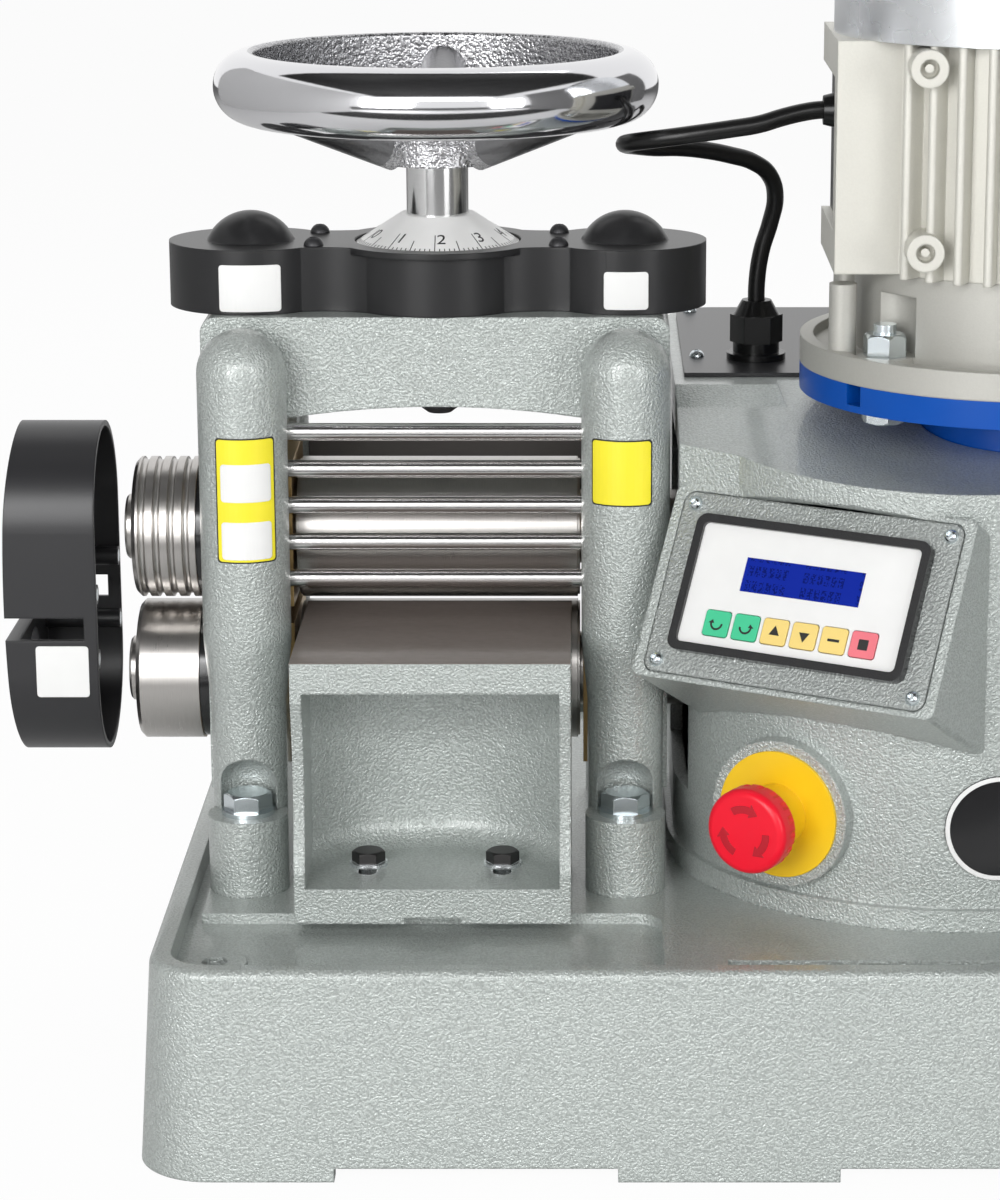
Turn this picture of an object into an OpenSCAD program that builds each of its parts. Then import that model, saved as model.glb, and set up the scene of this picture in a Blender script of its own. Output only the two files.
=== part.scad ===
// Electric rolling mill: two flat rolls with a screw-down handwheel, driven by a
// flange motor through a worm reducer, all on one cast base with a tray top.
// The origin is the centre of the four bench bolts, on the bench. The front faces -Y.

/* [Base] */
// Width of the base on the bench
base_w = 504; // [500:1:560]
// Depth of the base on the bench
base_d = 440; // [430:1:500]
// Height of the tray rim above the bench
base_h = 92; // [80:1:120]
// How far each side leans in from the bench to the rim
base_draft = 6; // [3:0.5:9]
// Corner radius of the tray rim
base_corner_r = 26; // [20:1:36]
// Rounding along the rim's outer edge
rim_round = 4; // [2:0.5:6]
// Width of the rim round the tray
rim_w = 9; // [7:0.5:11]
// Depth of the tray below the rim
tray_deep = 11; // [8:0.5:14]
// Height of the platform above the tray floor
platform_h = 5; // [3:0.5:8]
// Gap between the platform and the rim
gutter_w = 6; // [4:0.5:8]
// Wall of the hollow base casting
base_wall = 9; // [7:0.5:12]
// Thickness of the deck under the tray
deck_t = 10; // [8:0.5:14]
// Height of the arches between the foot pads
arch_h = 6; // [4:0.5:10]
// Half width of the middle foot pads
mid_pad_half = 47; // [36:1:60]
// Length of each corner foot pad
corner_pad = 85; // [70:1:100]
// Spacing of the bench bolts across the front
bench_x = 440; // [430:1:450]
// Spacing of the bench bolts from front to back
bench_y = 350; // [340:1:360]
// Diameter of the bench bolt holes
bench_hole_d = 11; // [9:0.5:14]
// Diameter of the boss round each bench bolt
bench_boss_d = 28; // [22:1:34]

/* [Rolls] */
// Diameter of the rolls
roll_d = 65; // [62:0.5:66]
// Opening between the rolls as stored
gap_rest = 3; // [1:0.5:4]
// Travel of the top roll each way from the stored gap
lift_travel = 3; // [1:0.5:3]
// Height of the roll nip above the platform
nip_h = 116; // [112:0.5:126]
// Diameter of the roll journals
journal_d = 34; // [30:0.5:38]
// Width of the side rolls outside the left cheek
ext_w = 29.5; // [24:0.5:32]
// Number of wire grooves in the top side roll
groove_count = 4; // [3:1:6]
// Radius of the wire grooves
groove_r = 1.6; // [1:0.1:2.2]
// Thickness of the black spacer behind each side roll
spacer_t = 5; // [3:0.5:7]
// Diameter of the hub on each side roll
hub_d = 30; // [28:0.5:40]
// How far the hub stands out of the side roll
hub_t = 5; // [3:0.5:7]
// Diameter of the roll shaft inside the side roll
stub_d = 26; // [20:0.5:27]

/* [Mill frame] */
// Distance of the mill's middle left of the base's middle
mill_left = 128; // [122:1:132]
// Distance of the rolls in front of the base's middle
mill_front = 10; // [4:1:16]
// Diameter of the round columns, and width of each cheek
cheek_w = 39.5; // [38:0.5:42]
// Distance of the column centres from the rolls
column_y = 60; // [57:0.5:64]
// How much slimmer the columns are at the foot
waist = 2.75; // [1:0.25:4]
// Height above the nip of the top of the frame
frame_top_h = 139; // [134:1:146]
// Depth of the bridge between the cheeks
bridge_d = 84; // [78:1:92]
// Height of the bridge's underside above the nip
bridge_low_h = 93.5; // [91:0.5:97]
// Rise of the arch under the bridge
bridge_rise = 5; // [3:0.5:8]
// Height of the round foot bosses
foot_h = 35; // [30:1:40]
// Diameter of the round foot bosses
foot_d = 36; // [33:1:38]
// Distance of the foot bolts from the rolls
foot_y = 75; // [72:1:78]
// Diameter of the foot bolts
foot_bolt_d = 12; // [10:1:12]
// Width across flats of the foot bolt heads
foot_bolt_af = 19; // [17:1:21]
// Height of the bearing window below the nip
window_low_h = 70; // [67:1:76]
// Width of the bearing window from front to back
window_w = 66.6; // [62:0.2:72]
// Number of guide bars in front of the top roll
bar_count = 5; // [3:1:5]
// Diameter of the guide bars
bar_d = 8; // [6:0.5:10]
// Spacing of the guide bars
bar_pitch = 16.8; // [15:0.2:17]
// Height of the lowest guide bar above the nip
bar_low_h = 20.5; // [19:0.5:22]
// Distance of the guide bars in front of the rolls
bar_y = 45; // [42:0.5:50]
// Depth of the guide bar seats in the cheeks
bar_seat = 5; // [3:0.5:8]

/* [Rest table] */
// Width of the rest table
table_w = 121.5; // [112:0.5:126]
// Height of the table top above the nip
table_top_h = 3; // [1:0.5:3]
// Distance of the table's front lip in front of the rolls
table_front = 128; // [120:1:134]
// Distance of the table's rear edge in front of the rolls
table_back = 18.5; // [18:0.5:24]
// Depth of the lip and thickness of the table top
table_lip = 14; // [10:0.5:18]
// Thickness of the side ribs
table_rib = 5; // [4:0.5:8]
// Radius of the curved web under the table top
table_web_r = 75; // [66:1:90]
// Height of the table foot
table_foot_h = 16; // [14:0.5:20]
// Distance of the table foot's front in front of the rolls
table_foot_front = 127; // [120:1:130]
// Distance of the table's rear wall in front of the rolls
table_wall_back = 45; // [42:0.5:48]
// Spacing of the table bolts
table_bolt_x = 60; // [54:1:70]
// Distance of the table bolts in front of the rolls
table_bolt_y = 92; // [86:1:96]
// Diameter of the table bolts
table_bolt_d = 8; // [6:1:10]
// Width across flats of the table bolt heads
table_bolt_af = 13; // [11:1:16]
// Width of the notch under the table foot
table_notch_w = 25; // [18:1:32]

/* [Screw-down gear] */
// Module of the screw-down gears
gear_m = 1.25; // [1.2:0.05:1.3]
// Teeth of the handwheel pinion
pinion_z = 32; // [32:2:36]
// Teeth of each idler
idler_z = 28; // [26:2:30]
// Teeth of each lifting nut
nut_z = 48; // [46:2:50]
// Face width of the screw-down gears
gear_face = 12; // [8:0.5:15]
// Diameter of the lifting screws
stem_d = 20; // [16:0.5:24]
// Diameter of the idler posts
post_d = 10; // [8:0.5:12]
// Height of the gear cover
cover_h = 29; // [27:0.5:32]
// Wall of the gear cover
cover_wall = 2.5; // [2:0.25:3]
// Radius of the cover's end lobes
lobe_r = 37; // [35.5:0.25:39]
// Half depth of the cover's waist
cover_waist = 26; // [24:0.5:30]
// Radius of the hollow in each side of the waist
neck_r = 40; // [30:1:60]
// Diameter of the ring round the dial
ring_d = 87; // [84:0.5:92]
// Diameter of the domes over the lifting screws
dome_d = 40; // [34:0.5:46]
// Height of the domes
dome_h = 13; // [11:0.5:16]
// Diameter of the cover screw heads
cover_screw_d = 9; // [7:0.5:11]
// Distance of the cover screws from the middle, across
cover_screw_x = 55; // [50:0.5:58]
// Distance of the cover screws from the middle, along
cover_screw_y = 20; // [18:0.5:21]

/* [Handwheel] */
// Outside diameter of the handwheel
wheel_d = 200; // [170:1:220]
// Height of the handwheel rim
rim_h = 31; // [24:0.5:34]
// Depth of the rim's flat inner part
rim_flat = 2.5; // [2.5:0.5:6]
// Height of the middle of the rim above the frame
wheel_h = 99; // [92:1:110]
// Height of the underside of the hub above the frame
hub_low_h = 64; // [60:0.5:70]
// Height of the hub
wheel_hub_h = 20; // [16:0.5:24]
// Radius of the hub at its widest
wheel_hub_r = 28; // [24:0.5:32]
// Radius of a spoke at the hub
spoke_r = 12; // [8:0.5:14]
// Radius of a spoke at the rim
spoke_tip_r = 11; // [6:0.5:12]
// Diameter of the bare shaft under the hub
wheel_shaft_d = 28; // [24:0.5:32]
// Diameter of the shaft in the bridge
wheel_journal_d = 16; // [14:0.5:20]
// Diameter of the dial's lower edge
dial_d = 74; // [66:0.5:78]
// Height of the dial's cone
dial_h = 13; // [9:0.5:16]
// Height of the dial's straight lower edge
dial_edge = 2; // [1:0.5:4]

/* [Side guard] */
// Wall of the guard
guard_wall = 2.5; // [2:0.25:3.5]
// Half width of the guard from front to back
guard_r = 43; // [41:0.5:46]
// Distance between the guard's round ends
guard_span = 68.5; // [66:0.5:76]
// Height of the guard's middle above the nip
guard_up = 6; // [3:0.5:8]
// Distance the guard is stored away from the cheek
guard_off = 50; // [40:1:60]
// Height of the feed slot in the guard
guard_slot = 10.5; // [8:0.5:14]
// Depth of the crown on the guard's outer end
guard_crown = 4; // [1:0.5:6]
// Diameter of the holding magnets
magnet_d = 6; // [4:0.5:6]

/* [Gear housing] */
// Distance of the drum's middle right of the base's middle
drum_right = 106; // [103:0.5:108]
// Distance of the drum's middle in front of the base's middle
drum_front = 20; // [14:1:28]
// Radius of the drum
drum_r = 126; // [122:0.5:128]
// How far the foot flange stands out of the drum
flange_out = 3; // [2:0.5:4]
// Height of the foot flange
flange_h = 10; // [7:0.5:14]
// Wall of the housing
housing_wall = 6; // [5:0.5:8]
// Height of the housing's rear top above the platform
housing_h = 216; // [212:1:224]
// Distance of the housing's rear wall behind the base's middle
housing_back = 200; // [190:1:204]
// Radius of the housing's upright rear corners
rear_corner_r = 24; // [12:1:36]
// Where the rear top ends and the front slope starts
slope_start = 4; // [0:1:10]
// Angle of the sloping front top
slope_angle = 8; // [6:0.5:9]
// Width of the raised cover over the roll gears
hump_w = 52; // [46:0.5:56]
// Angle of the raised cover's front slope
hump_angle = 19; // [16:0.5:22]
// Where the raised cover's slope starts
hump_start = -14; // [-20:1:-8]

/* [Control panel] */
// Turn of the panel towards the mill
panel_yaw = 30.7; // [27:0.1:34]
// Lean of the panel
panel_tilt = 28.8; // [26:0.1:32]
// Width of the panel box
box_w = 145; // [142:0.5:148]
// Height of the panel box
box_h = 88; // [86:0.5:92]
// Width of the panel plate
plate_w = 134.5; // [130:0.5:136]
// Height of the panel plate
plate_h = 82; // [78:0.5:83]
// Thickness of the panel plate
plate_t = 2.3; // [1.5:0.1:3]
// Spacing of the plate screws across
plate_screw_x = 123.5; // [121:0.5:125]
// Spacing of the plate screws up
plate_screw_y = 71.6; // [70:0.2:73]
// Diameter of the plate screw heads
plate_screw_d = 6.6; // [5:0.2:7]
// Width of the keypad bezel
bezel_w = 112.6; // [108:0.2:116]
// Height of the keypad bezel
bezel_h = 62; // [58:0.5:64]
// Width of the bezel's frame
bezel_rim = 3.8; // [2.5:0.1:5]
// Height of the bezel above the plate
bezel_t = 4.8; // [3.5:0.1:6]
// Thickness of the keypad face
face_t = 2.4; // [1.5:0.1:3]
// Width of the display window
lcd_w = 57.2; // [50:0.2:64]
// Height of the display window
lcd_h = 15.4; // [12:0.2:18]
// Height of the display's middle above the panel's middle
lcd_up = 6.5; // [5:0.5:10]
// Number of keys
key_count = 6; // [6:1:6]
// Width of a key
key_w = 12; // [10:0.2:12.6]
// Height of a key
key_h = 11.4; // [9:0.2:13]
// Spacing of the keys
key_pitch = 14.1; // [13.4:0.1:15]
// Distance of the keys below the panel's middle
key_down = 17; // [15:0.5:18.5]
// Travel of a key
key_travel = 0.4; // [0.2:0.1:0.8]

/* [Stop button] */
// Distance of the stop button left of the drum's middle
stop_left = 82; // [80:0.5:86]
// Distance of the stop button's face before the drum's middle
stop_front = 105; // [104:0.5:110]
// Height of the stop button above the platform
stop_h = 47; // [44:0.5:52]
// Diameter of the raised boss under the stop button
stop_boss_d = 66; // [62:0.5:70]
// Diameter of the yellow plate
stop_plate_d = 57; // [52:0.5:60]
// Thickness of the yellow plate
stop_plate_t = 1.5; // [1:0.1:2]
// Diameter of the yellow collar
stop_collar_d = 28; // [25:0.5:30]
// Height of the yellow collar
stop_collar_h = 12; // [10:0.5:15]
// Diameter of the red button
stop_head_d = 38; // [35:0.5:42]
// Height of the red button
stop_head_h = 14; // [12:0.5:18]
// Travel of the stop button
stop_travel = 4; // [2:0.5:5]
// Diameter of the stop button's stem
stop_stem_d = 16; // [12:0.5:18]

/* [Motor] */
// Distance of the motor right of the base's middle
motor_right = 135; // [132:0.5:138]
// Distance of the worm in front of the roll drive shaft
worm_offset = 38; // [37.5:0.1:39]
// Height of the motor flange face above the housing's rear top
motor_h = 19; // [16:0.5:28]
// Diameter of the motor flange
motor_flange_d = 200; // [190:1:204]
// Thickness of the motor flange
motor_flange_t = 12; // [10:0.5:14]
// Circle of the motor bolts
motor_pcd = 165; // [160:1:168]
// Diameter of the motor bolts
motor_bolt_d = 10; // [8:1:10]
// Width across flats of the motor nuts
motor_nut_af = 17; // [15:1:17]
// Turn of the bolt circle towards the front
motor_bolt_turn = 36.5; // [30:0.5:45]
// Thickness of the reducer's input flange
reducer_flange_t = 12; // [9:0.5:12]
// Diameter of the reducer's neck
reducer_neck_d = 92; // [84:1:100]
// Height of the end shield above the flange
shield_h = 34; // [30:0.5:40]
// Length of the finned motor body
body_l = 100; // [90:1:110]
// Radius of the motor body under the fins
body_r = 76; // [73:0.5:78]
// Radius of the motor over the fins
fin_r = 86; // [84:0.5:87]
// Number of fin places round the body
fin_count = 40; // [36:1:40]
// Thickness of a fin
fin_t = 4; // [3:0.25:5]
// Radius of the fan cowl
cowl_r = 87; // [86:0.5:90]
// Length of the fan cowl
cowl_l = 80; // [76:1:100]
// Thickness of the fan cowl's sheet
cowl_t = 1.5; // [1:0.1:2]
// Diameter of the motor shaft
motor_shaft_d = 24; // [19:1:24]
// Radius of the worm
worm_r = 12.5; // [12.5:0.1:13]
// Radius of the worm wheel
worm_wheel_r = 24.8; // [24:0.1:25]
// Thickness of the terminal box lid
lid_t = 2; // [1.5:0.5:3]
// Height of the terminal box lid
lid_h = 66; // [60:1:70]
// Diameter of the motor lead
cable_d = 8; // [6:0.5:9]

/* [Clearances] */
// Gap of a piece that slides past another
slide_gap = 0.3; // [0.2:0.05:0.4]
// Radial gap of a shaft in its bearing
run_gap = 0.05; // [0.02:0.01:0.08]
// Radial gap of a bolt, bar or pin in its hole
bolt_gap = 0.1; // [0.05:0.05:0.2]

/* [Hidden] */
$fn = 64;
plat_z = base_h - tray_deep + platform_h;
tray_z = base_h - tray_deep;
nip_z = plat_z + nip_h;
low_z = nip_z - (gap_rest + roll_d) / 2;
top_z = nip_z + (gap_rest + roll_d) / 2;
frame_top = nip_z + frame_top_h;
bridge_low = nip_z + bridge_low_h;

// The screw-down gear train sets the cheeks' distance from the middle.
pinion_r = gear_m * pinion_z / 2;
idler_r = gear_m * idler_z / 2;
nut_r = gear_m * nut_z / 2;
idler_x = pinion_r + idler_r;
stem_x = idler_x + idler_r + nut_r;
gear_z = frame_top + 5;
mill_at = [-mill_left, -mill_front, 0];
cheek_in = stem_x - cheek_w / 2;
cheek_out = stem_x + cheek_w / 2;
column_r = cheek_w / 2;
foot_washer_d = foot_bolt_d * 2;
web_inset = 0.5;
seat_margin = 8;
rear_shield_h = 50;
seat_half_y = window_w / 2 + 14;
column_dome_z = frame_top - 2 - column_r;
waist_top_z = nip_z - 4;
waist_low_z = nip_z - 32;

// Rolls, bearing blocks and shafts, from the mill's middle.
roll_side_gap = 0.75;
guard_slot_z = nip_z - guard_slot / 2 + 0.8;
roll_half = cheek_in - roll_side_gap;
block_half_x = cheek_w / 2 - roll_side_gap;
block_half_y = window_w / 2 - slide_gap;
block_half_z = 30;
block_head = 36;
spacer_x = cheek_out + roll_side_gap;
ext_x = spacer_x + spacer_t;
ext_end = ext_x + ext_w;
groove_pitch = ext_w / (groove_count + 0.4);
roll_gear_m = roll_d / 13;
roll_gear_z = 13;
roll_gear_face = 34;
roll_gear_x = cheek_out + 11;
hidden_shaft_end = mill_left + motor_right + 38;

// Reducer and motor, from the base's middle.
motor_at = [motor_right, -mill_front - worm_offset, 0];
motor_z = plat_z + housing_h + motor_h;
reducer_flange_low = motor_z - reducer_flange_t;
shield_z = motor_z + motor_flange_t;
body_z = shield_z + shield_h;
cowl_z = body_z + body_l;
case_half_x = 42;
case_front = 36;
case_back = 78;
case_wall = 7;
case_low_z = low_z - 40;
case_top_z = plat_z + housing_h - 22;
pad_x = cowl_r + 1.5;
pad_half_y = 46;
lid_mid_z = body_z + body_l / 2;
posts = [[-84, -38], [84, 38], [-76, 52], [76, -52]];
lid_sink = 4;
lid_front = 30;
lid_gland_at = [14, 14];
rotor_r = 40;

// Housing, from the base's middle.
housing_top = plat_z + housing_h;
drum_at = [drum_right, -drum_front];
gland_at = [20, 51];
gland_flange_r = 14;
gland_h = 28;
rear_front = slope_start + 8;
rear_t = 2;
rear_edge = 5;
case_screw_r = 3.6;

// Control panel and stop button.
panel_at = [32, -137, nip_z + 31.5];
box_deep = 82;
panel_gap = 0.6;
face_w = bezel_w - 2 * bezel_rim;
face_h = bezel_h - 2 * bezel_rim;
face_low = 1;
key_t = 2;
key_low = face_low + 2 * key_travel;
stop_at = [drum_right - stop_left, -drum_front - stop_front, plat_z + stop_h];
stop_axis_turn = panel_yaw;
stop_head_low = stop_plate_t + stop_collar_h + stop_travel + 0.5;

// Route of the motor lead, from the gland on the housing to the terminal box.
cable_route = [
  [20, 51, 326], [20, 51, 340], [22, 51, 355], [26, 50, 369], [28, 47, 381], [25, 42, 392],
  [17, 36, 399], [6, 30, 403], [-6, 24, 406], [-18, 17, 408], [-29, 9, 409], [-38, -1, 411],
  [-43, -12, 413], [-42, -23, 415], [-35, -31, 417], [-24, -36, 419], [-11, -38, 421],
  [3, -38, 423], [16, -37, 425], [27, -35, 428], [36, -34, 430], [43, -34, 431], [48, -34, 431]];
cable_sides = 10;
lid_x = motor_at[0] - pad_x + lid_sink;

// Shapes that repeat

// A plate outline with round corners, centred.
module round_rect(w, h, r) {
  square([w - 2 * r, h], center = true);
  square([w, h - 2 * r], center = true);
  for (x = [-1, 1], y = [-1, 1])
    translate([x * (w / 2 - r), y * (h / 2 - r)])
      circle(r = r);
}

// One side of a leaning wall with a rounded top edge, from the middle to half.
module lean_profile(half, h, draft, edge) {
  lean = draft / h;
  top_half = half - lean * (h - edge);
  polygon([[0, 0], [half, 0], [top_half, h - edge], [0, h - edge]]);
  square([top_half - edge, h]);
  translate([top_half - edge, h - edge])
    circle(r = edge);
}

// A block whose four sides lean in, with round corners and a rounded top edge.
module lean_block(w, d, h, draft, corner, edge) {
  cx = w / 2 - draft - corner;
  cy = d / 2 - draft - corner;
  for (s = [0, 1]) {
    rotate([90, 0, s * 180])
      translate([0, 0, -cy])
        linear_extrude(2 * cy)
          lean_profile(w / 2, h, draft, edge);
    rotate([90, 0, 90 + s * 180])
      translate([0, 0, -cx])
        linear_extrude(2 * cx)
          lean_profile(d / 2, h, draft, edge);
  }
  for (x = [-1, 1], y = [-1, 1])
    translate([x * cx, y * cy, 0])
      rotate_extrude()
        intersection() {
          lean_profile(corner + draft, h, draft, edge);
          square([2 * (corner + draft), h]);
        }
}

// A hexagon head or nut of width af across its flats, its upper edge turned round.
module hex_head(af, h) {
  intersection() {
    cylinder(d = af / cos(30), h = h, $fn = 6);
    union() {
      cylinder(d = af / cos(30) + 1, h = h * 0.82);
      translate([0, 0, h * 0.82])
        cylinder(d1 = af / cos(30), d2 = af * 0.94, h = h * 0.18);
    }
  }
}

// A bolt along +Z: washer, head and a shank of length l below the seat.
module hex_bolt(d, af, l, washer_d, washer_t) {
  head_h = d * 0.65;
  translate([0, 0, -l])
    cylinder(d = d, h = l + washer_t);
  cylinder(d = washer_d, h = washer_t);
  translate([0, 0, washer_t])
    hex_head(af, head_h);
}

// A low round screw head with a shank below the seat.
module button_screw(head_d, shank_d, l) {
  head_h = head_d * 0.45;
  ball_r = (head_d * head_d / 4 + head_h * head_h) / (2 * head_h);
  difference() {
    intersection() {
      cylinder(d = head_d, h = head_h);
      translate([0, 0, head_h - ball_r])
        sphere(r = ball_r);
    }
    translate([0, 0, head_h * 0.5])
      cylinder(d = head_d * 0.45, h = head_h, $fn = 6);
  }
  translate([0, 0, -l])
    cylinder(d = shank_d, h = l);
}

// Involute of a circle: its polar angle in degrees where the pressure angle is a.
function involute(a) = tan(a) * 180 / PI - a;

// Half the angle that a tooth takes at radius r.
function tooth_half(r, pitch_r, base_r, thick, angle) =
  thick / (2 * pitch_r) * 180 / PI + involute(angle)
  - involute(r > base_r ? acos(base_r / r) : 0);

// A spur gear outline: involute teeth of a pressure angle, backlash and root depth.
module gear_outline(z, m, angle, backlash, root, turn) {
  pitch_r = z * m / 2;
  base_r = pitch_r * cos(angle);
  root_r = pitch_r - root * m;
  tip_r = pitch_r + m;
  thick = PI * m / 2 - backlash;
  radii = [root_r, max(base_r, root_r) + 0.05 * m, pitch_r, (pitch_r + tip_r) / 2, tip_r];
  polygon([
    for (i = [0:z - 1], j = [0:9])
      let (
        k = j < 5 ? j : 9 - j,
        side = j < 5 ? -1 : 1,
        a = turn + i * 360 / z + side * tooth_half(radii[k], pitch_r, base_r, thick, angle))
      radii[k] * [cos(a), sin(a)]]);
}

// A screw-down gear of face width gear_face with a plain bore.
module train_gear(z, bore_d, turn) {
  linear_extrude(gear_face)
    difference() {
      gear_outline(z, gear_m, 20, 0.25, 1.25, turn);
      circle(d = bore_d);
    }
}

// Moves what follows to the mill's middle, on the bench.
module at_mill() {
  translate(mill_at)
    children();
}

// Moves what follows to the motor's axis, on the bench.
module at_motor() {
  translate(motor_at)
    children();
}

// Turns what follows to the control panel: X across, Y up the face, Z out of it.
module at_panel() {
  translate(panel_at)
    rotate([90 - panel_tilt, 0, -panel_yaw])
      children();
}

// Turns what follows to the stop button: Z points out along its axis.
module at_stop() {
  translate(stop_at)
    rotate([90, 0, -stop_axis_turn])
      children();
}

// A cylinder along X from x0 to x1.
module bar_x(x0, x1, d) {
  translate([x0, 0, 0])
    rotate([0, 90, 0])
      cylinder(d = d, h = x1 - x0);
}

// Base

module platform_plan() {
  in_w = base_w - 2 * (base_draft + rim_w + gutter_w);
  in_d = base_d - 2 * (base_draft + rim_w + gutter_w);
  step_x = -mill_left + cheek_out - 4;
  left_front = -mill_front - table_foot_front + 14;
  step_r = 12;
  difference() {
    round_rect(in_w, in_d, 14);
    translate([-base_w, -base_d])
      square([base_w + step_x - step_r, base_d + left_front]);
    translate([-base_w, -base_d])
      square([base_w + step_x, base_d + left_front - step_r]);
    translate([step_x - step_r, left_front - step_r])
      circle(r = step_r);
    translate([0, -base_d - in_d / 2 + 16])
      square([base_w, base_d]);
  }
}

module base_casting() {
  color([0.60, 0.63, 0.62])
    difference() {
      union() {
        difference() {
          lean_block(base_w, base_d, base_h, base_draft, base_corner_r, rim_round);
          translate([0, 0, tray_z])
            linear_extrude(tray_deep + 1)
              round_rect(base_w - 2 * (base_draft + rim_w), base_d - 2 * (base_draft + rim_w),
                         base_corner_r - rim_w);
          translate([0, 0, -0.5])
            lean_block(base_w - 2 * base_wall, base_d - 2 * base_wall, tray_z - deck_t + 0.5,
                       base_draft, base_corner_r - base_wall, 1);
        }
        translate([0, 0, tray_z - 1])
          linear_extrude(platform_h + 1)
            platform_plan();
        for (x = [-1, 1], y = [-1, 1])
          translate([x * bench_x / 2, y * bench_y / 2, 0]) {
            cylinder(d = bench_boss_d, h = tray_z - deck_t + 1);
            translate([0, 0, tray_z - deck_t])
              cylinder(d = bench_boss_d, h = deck_t + 1.5);
          }
      }
      for (s = [-1, 1])
        translate([s * (base_w / 2 - corner_pad + mid_pad_half) / 2, 0, arch_h / 2 - 1])
          cube([base_w / 2 - corner_pad - mid_pad_half, base_d + 2, arch_h + 2], center = true);
      translate([0, 0, arch_h / 2 - 1])
        cube([base_w + 2, base_d - 2 * corner_pad - 60, arch_h + 2], center = true);
      for (x = [-1, 1], y = [-1, 1])
        translate([x * bench_x / 2, y * bench_y / 2, -1])
          cylinder(d = bench_hole_d, h = base_h);
      at_mill() {
        for (x = [-1, 1], y = [-1, 1])
          translate([x * stem_x, y * foot_y, plat_z - deck_t - platform_h - 1])
            cylinder(d = foot_bolt_d + 2 * bolt_gap, h = 2 * deck_t);
        for (x = [-1, 1])
          translate([x * table_bolt_x / 2, -table_bolt_y, plat_z - deck_t - platform_h - 1])
            cylinder(d = table_bolt_d + 2 * bolt_gap, h = 2 * deck_t);
      }
    }
}

// Mill frame

// A round column: slim foot, taper, full shaft and a domed top.
module column() {
  slim_r = column_r - waist;
  rotate_extrude() {
    polygon([
      [0, plat_z], [slim_r, plat_z], [slim_r, waist_low_z], [column_r, waist_top_z],
      [column_r, column_dome_z], [0, column_dome_z]]);
    translate([0, column_dome_z])
      intersection() {
        circle(r = column_r);
        square(column_r);
      }
  }
}

// A bolt pocket: a round hole whose blind upper end is domed.
module bolt_pocket(r, h) {
  rotate_extrude() {
    square([r, h]);
    translate([0, h])
      intersection() {
        circle(r = r);
        square(r);
      }
  }
}

// A cheek: two columns, the web between, a seat outside and two foot bosses.
module cheek(side) {
  web_half = column_r - waist - web_inset;
  seat_low = nip_z - window_low_h - seat_margin;
  for (y = [-1, 1])
    translate([0, y * column_y, 0])
      column();
  translate([-web_half, -column_y, plat_z])
    cube([2 * web_half, 2 * column_y, column_dome_z - plat_z]);
  mirror([side < 0 ? 1 : 0, 0, 0])
    translate([0, -seat_half_y, seat_low])
      cube([column_r - web_inset, 2 * seat_half_y, bridge_low + 5 - seat_low]);
  for (y = [-1, 1])
    translate([0, y * foot_y, plat_z])
      cylinder(d = foot_d, h = foot_h);
}

module bridge() {
  arch_half = cheek_in;
  arch_r = (arch_half * arch_half + bridge_rise * bridge_rise) / (2 * bridge_rise);
  difference() {
    rotate([90, 0, 0])
      translate([0, 0, -bridge_d / 2])
        linear_extrude(bridge_d)
          translate([0, (bridge_low + frame_top) / 2])
            round_rect(2 * cheek_out, frame_top - bridge_low, 7);
    intersection() {
      translate([0, bridge_d, bridge_low + bridge_rise - arch_r])
        rotate([90, 0, 0])
          cylinder(r = arch_r, h = 2 * bridge_d, $fn = 128);
      translate([-cheek_in, -bridge_d, bridge_low - 1])
        cube([2 * cheek_in, 2 * bridge_d, bridge_rise + 2]);
    }
  }
}

module mill_frame() {
  color([0.60, 0.63, 0.62])
    at_mill()
      difference() {
        union() {
          for (x = [-1, 1])
            translate([x * stem_x, 0, 0])
              cheek(x);
          bridge();
          for (x = [-1, 1])
            translate([x * idler_x, 0, frame_top - 1])
              cylinder(d = post_d, h = gear_z + gear_face + 2 - frame_top);
        }
        for (x = [-1, 1])
          translate([x * stem_x, 0, 0]) {
            translate([-cheek_w, -window_w / 2, nip_z - window_low_h])
              cube([2 * cheek_w, window_w, bridge_low - nip_z + window_low_h]);
            translate([0, 0, bridge_low - 1])
              cylinder(d = stem_d + 2 * slide_gap, h = frame_top - bridge_low + 2);
            for (y = [-1, 1])
              translate([0, y * foot_y, 0]) {
                translate([0, 0, plat_z - 1])
                  cylinder(d = foot_bolt_d + 2 * bolt_gap, h = foot_h + 2);
                translate([0, 0, plat_z + foot_h])
                  bolt_pocket(foot_washer_d / 2 + 1, foot_bolt_d);
              }
          }
        translate([0, 0, bridge_low])
          cylinder(d = wheel_journal_d + 2 * run_gap, h = frame_top - bridge_low + 1);
        for (i = [0:bar_count - 1])
          translate([0, -bar_y, nip_z + bar_low_h + i * bar_pitch])
            bar_x(-cheek_in - bar_seat, cheek_in + bar_seat, bar_d + 2 * bolt_gap);
        for (x = [-1, 1], y = [-1, 1])
          translate([x * cover_screw_x, y * cover_screw_y, frame_top - 8])
            cylinder(d = cover_screw_d / 2 + 2 * bolt_gap, h = 9);
      }
}

module frame_bolts() {
  seat = plat_z + foot_h;
  color([0.80, 0.82, 0.84])
    at_mill()
      for (x = [-1, 1], y = [-1, 1])
        translate([x * stem_x, y * foot_y, seat])
          hex_bolt(foot_bolt_d, foot_bolt_af, foot_h + deck_t, foot_washer_d, 2);
}

module guide_bars() {
  color([0.78, 0.78, 0.78])
    at_mill()
      for (i = [0:bar_count - 1])
        translate([0, -bar_y, nip_z + bar_low_h + i * bar_pitch])
          bar_x(-cheek_in - bar_seat + bolt_gap, cheek_in + bar_seat - bolt_gap, bar_d);
}

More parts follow.
